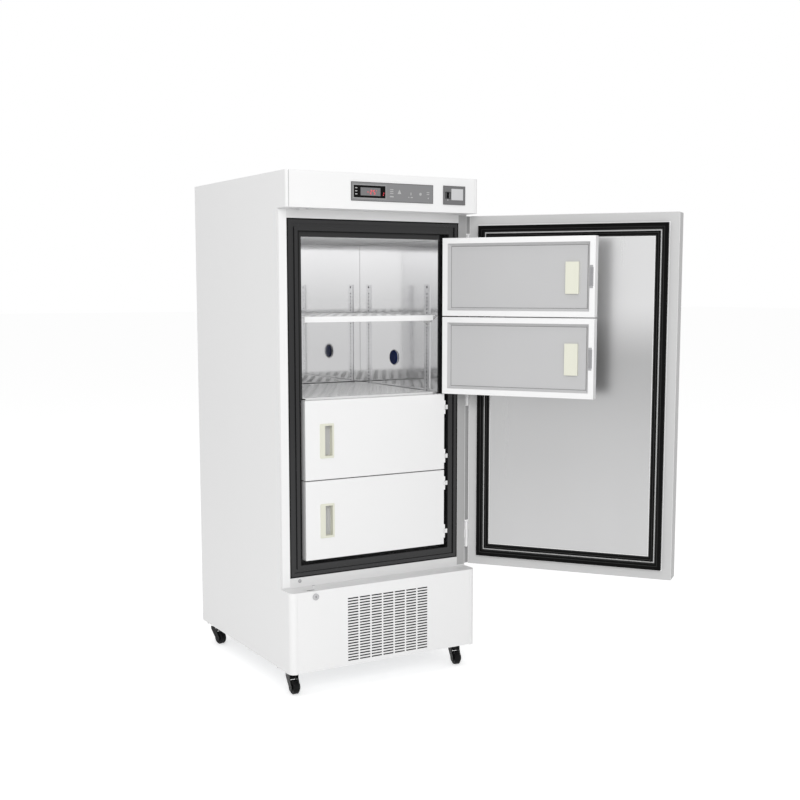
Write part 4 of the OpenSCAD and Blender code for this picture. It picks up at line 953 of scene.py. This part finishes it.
class FREEZER_OT_inner_doors(bpy.types.Operator):
    """Inner doors with their pulls, latch plates and hinges"""
    bl_idname = "freezer.inner_doors"
    bl_label = "Inner doors"

    def execute(self, context):
        cream = stippled("Cream plastic", finishes().cream, 0.38, scale=600.0, mottle=0.02,
                         strength=0.08)
        latch = stippled("Latch gray", (0.34, 0.34, 0.35), 0.45, metallic=0.3)
        for k in range(1, 5):
            dress(enamel(), "inner_door_%d" % k)
            dress(cream, "inner_pull_%d" % k)
            dress(latch, "inner_latch_%d" % k)
            soften("inner_door_%d" % k, 0.0008)
        dress(drawn_metal("Hinge steel", (0.7, 0.7, 0.7), 0.25, (1.0, 1.0, 20.0)), "inner_hinges")
        for k in range(1, 5):
            lo, hi = closed_inner(k)
            self.lining(k, lo, hi, inner_turn(k))
            self.latch_lugs(k, lo, hi, inner_turn(k))
        return {"FINISHED"}

    def lining(self, k, lo, hi, turn):
        """Gray lining of an inner door's sunk side, its gray on the sloped walls painted shade,
        with a dark line round its floor that is painted shade where the walls meet the floor.
        """
        bm = bmesh.new()
        rim, floor, under, back = (
            [bm.verts.new(turn @ Vector(c)) for c in (
                (lo.x + s, hi.y - d, lo.z + s), (hi.x - s, hi.y - d, lo.z + s),
                (hi.x - s, hi.y - d, hi.z - s), (lo.x + s, hi.y - d, hi.z - s))]
            for s, d in LINING)
        for top, low in ((rim, floor), (under, back), (back, rim)):
            for i in range(4):
                j = (i + 1) % 4
                bm.faces.new((top[i], top[j], low[j], low[i]))
        bm.faces.new(floor)
        bm.faces.new(under[::-1])
        # On the sloped walls the lining's gray is painted shade; on the floor it is the lining's
        # own gray.
        piece(bm, "inner_lining_%d" % k,
              stippled("Inner lining", (0.53, 0.53, 0.535), 0.4, scale=800.0, mottle=0.04,
                       strength=0.06), "inner_%d" % k)
        # Dark ring round the floor: painted shade where the sunk walls meet it.
        s = SHADE_LINE_INSET
        bm = bmesh.new()
        add_ring(bm, lo.x + s, hi.x - s, lo.z + s, hi.z - s, 0.0016, hi.y - 0.0116,
                 hi.y - 0.0112, turn)
        piece(bm, "lining_shade_line_%d" % k, gray("Joint shade", 0.18, 0.6, specular=0.1),
              "inner_%d" % k)

    def latch_lugs(self, k, lo, hi, turn):
        """Two lugs with screws beside an inner door's latch plate."""
        zc = (lo.z + hi.z) / 2
        bm = bmesh.new()
        for z in (zc - LUG_REACH, zc + LUG_REACH):
            add_block(bm, (lo.x + 0.0070, hi.y - 0.0002, z - 0.0034),
                      (lo.x + 0.0176, hi.y + 0.0008, z + 0.0034), turn)
            add_screw(bm, (lo.x + 0.0128, hi.y + 0.0008, z), (0, 1, 0), 0.0022, turn)
        piece(bm, "latch_lugs_%d" % k, stippled("Lug gray", (0.42, 0.42, 0.43), 0.45),
              "inner_%d" % k)


class FREEZER_OT_machine(bpy.types.Operator):
    """Compressor, fan and tray behind the grille"""
    bl_idname = "freezer.machine"
    bl_label = "Machine compartment"

    def execute(self, context):
        dress(stippled("Black enamel", (0.012, 0.012, 0.013), 0.35, scale=300.0, mottle=0.15),
              "compressor", "fan_motor")
        dress(gray("Blade white", 0.7, 0.5), "fan_blades")
        dress(stippled("Tray gray", (0.25, 0.25, 0.26), 0.5), "drip_tray")
        return {"FINISHED"}


class FREEZER_OT_casters(bpy.types.Operator):
    """Casters with their plates, forks and wheels"""
    bl_idname = "freezer.casters"
    bl_label = "Casters"

    def execute(self, context):
        fork = stippled("Fork black", (0.003, 0.003, 0.0035), 0.3, scale=300.0, mottle=0.1,
                        strength=0.03, specular=0.12)
        wheel = stippled("Wheel black", (0.006, 0.006, 0.0065), 0.4, scale=500.0, mottle=0.1,
                         specular=0.12)
        dress(zinc_sheet(), "caster_plates")
        for k in range(1, 5):
            dress(fork, "caster_%d_hood" % k)
            dress(wheel, "caster_%d_wheels" % k)
            soften("caster_%d_hood" % k, 0.0006)
        return {"FINISHED"}


class FREEZER_OT_stage(bpy.types.Operator):
    """Pale floor, soft studio light and the camera"""
    bl_idname = "freezer.stage"
    bl_label = "Stage"

    def execute(self, context):
        s = context.scene.freezer_stage
        self.floor()
        self.world(context.scene, s.fill)
        self.lamp("key", (-2.7, -5.1, 2.9), 3.2, s.key)
        self.lamp("top", (-0.4, -0.6, 5.2), 4.0, s.top)
        self.camera(context.scene)
        context.scene.view_settings.view_transform = "Standard"
        return {"FINISHED"}

    def floor(self):
        """Wide matt plane that also glows where the camera or a mirror sees it."""
        m = bpy.data.materials.new("Pale floor")
        tree = empty_tree(m)
        matte = add_node(tree, "ShaderNodeBsdfDiffuse", {"Color": (0.86, 0.86, 0.86, 1)})
        glow = add_node(tree, "ShaderNodeEmission", {"Color": WHITE, "Strength": 0.50})
        both = add_node(tree, "ShaderNodeAddShader", {0: matte.outputs[0], 1: glow.outputs[0]})
        seen = ray_is(tree, "Is Camera Ray", "Is Glossy Ray")
        mix = add_node(tree, "ShaderNodeMixShader",
                       {0: seen, 1: matte.outputs[0], 2: both.outputs[0]})
        add_node(tree, "ShaderNodeOutputMaterial", {"Surface": mix.outputs[0]})
        bm = bmesh.new()
        bm.faces.new([bm.verts.new((x * FLOOR_HALF, y * FLOOR_HALF, FLOOR_Z))
                      for x, y in ((-1, -1), (1, -1), (1, 1), (-1, 1))])
        o = mesh_object(bm, "floor", m)

    def world(self, scene, fill):
        """Even light on surfaces, and plain white where the sky itself is seen."""
        w = bpy.data.worlds.new("Studio")
        scene.world = w
        tree = empty_tree(w)
        even = add_node(tree, "ShaderNodeBackground", {"Color": WHITE, "Strength": fill})
        plain = add_node(tree, "ShaderNodeBackground", {"Color": WHITE, "Strength": 1.0})
        seen = ray_is(tree, "Is Camera Ray", "Is Glossy Ray", "Is Transmission Ray")
        mix = add_node(tree, "ShaderNodeMixShader",
                       {0: seen, 1: even.outputs[0], 2: plain.outputs[0]})
        add_node(tree, "ShaderNodeOutputWorld", {"Surface": mix.outputs[0]})

    def lamp(self, name, where, size, power):
        """Square lamp that looks at the freezer's middle."""
        d = bpy.data.lights.new(name, "AREA")
        d.shape = "SQUARE"
        d.size = size
        d.energy = power
        o = bpy.data.objects.new(name, d)
        bpy.context.scene.collection.objects.link(o)
        o.visible_glossy = False
        o.location = where
        o.rotation_mode = "QUATERNION"
        o.rotation_quaternion = (Vector(LAMP_AIM) - Vector(where)).to_track_quat("-Z", "Y")

    def camera(self, scene):
        """Camera fitted to the photograph's edges."""
        d = bpy.data.cameras.new("camera")
        d.lens = 54.449
        d.sensor_width = 36.0
        d.sensor_fit = "HORIZONTAL"
        d.shift_x = -0.00265
        d.shift_y = 0.0366
        d.clip_start = 0.1
        d.clip_end = 200
        o = bpy.data.objects.new("camera", d)
        scene.collection.objects.link(o)
        yaw, pitch = math.radians(CAMERA_YAW), math.radians(CAMERA_PITCH)
        look = Vector((math.sin(yaw) * math.cos(pitch), math.cos(yaw) * math.cos(pitch),
                       -math.sin(pitch)))
        o.location = CAMERA_AT
        o.rotation_mode = "QUATERNION"
        o.rotation_quaternion = look.to_track_quat("-Z", "Y")
        scene.camera = o


class FREEZER_PT_sidebar(bpy.types.Panel):
    bl_label = "Laboratory Freezer"
    bl_idname = "FREEZER_PT_sidebar"
    bl_space_type = "VIEW_3D"
    bl_region_type = "UI"
    bl_category = "Freezer"

    def draw(self, context):
        s = context.scene
        col = self.layout.column()
        for group in (s.freezer_finish, s.freezer_size, s.freezer_stage):
            for p in group.bl_rna.properties:
                if p.identifier not in ("rna_type", "name"):
                    col.prop(group, p.identifier)
        for c in PIECE_OPERATORS:
            col.operator(c.bl_idname)


PIECE_OPERATORS = (FREEZER_OT_stage, FREEZER_OT_cabinet, FREEZER_OT_cavity, FREEZER_OT_controls,
                   FREEZER_OT_main_door, FREEZER_OT_inner_doors, FREEZER_OT_machine,
                   FREEZER_OT_casters)
CLASSES = (FinishSettings, SizeSettings, StageSettings) + PIECE_OPERATORS + (FREEZER_PT_sidebar,)


def register():
    for c in CLASSES:
        bpy.utils.register_class(c)
    bpy.types.Scene.freezer_finish = PointerProperty(type=FinishSettings)
    bpy.types.Scene.freezer_size = PointerProperty(type=SizeSettings)
    bpy.types.Scene.freezer_stage = PointerProperty(type=StageSettings)


def unregister():
    del bpy.types.Scene.freezer_stage
    del bpy.types.Scene.freezer_size
    del bpy.types.Scene.freezer_finish
    for c in reversed(CLASSES):
        bpy.utils.unregister_class(c)


def main():
    register()
    bpy.ops.freezer.stage()
    bpy.ops.freezer.cabinet()
    bpy.ops.freezer.cavity()
    bpy.ops.freezer.controls()
    bpy.ops.freezer.main_door()
    bpy.ops.freezer.inner_doors()
    bpy.ops.freezer.machine()
    bpy.ops.freezer.casters()


if __name__ == "__main__":
    main()
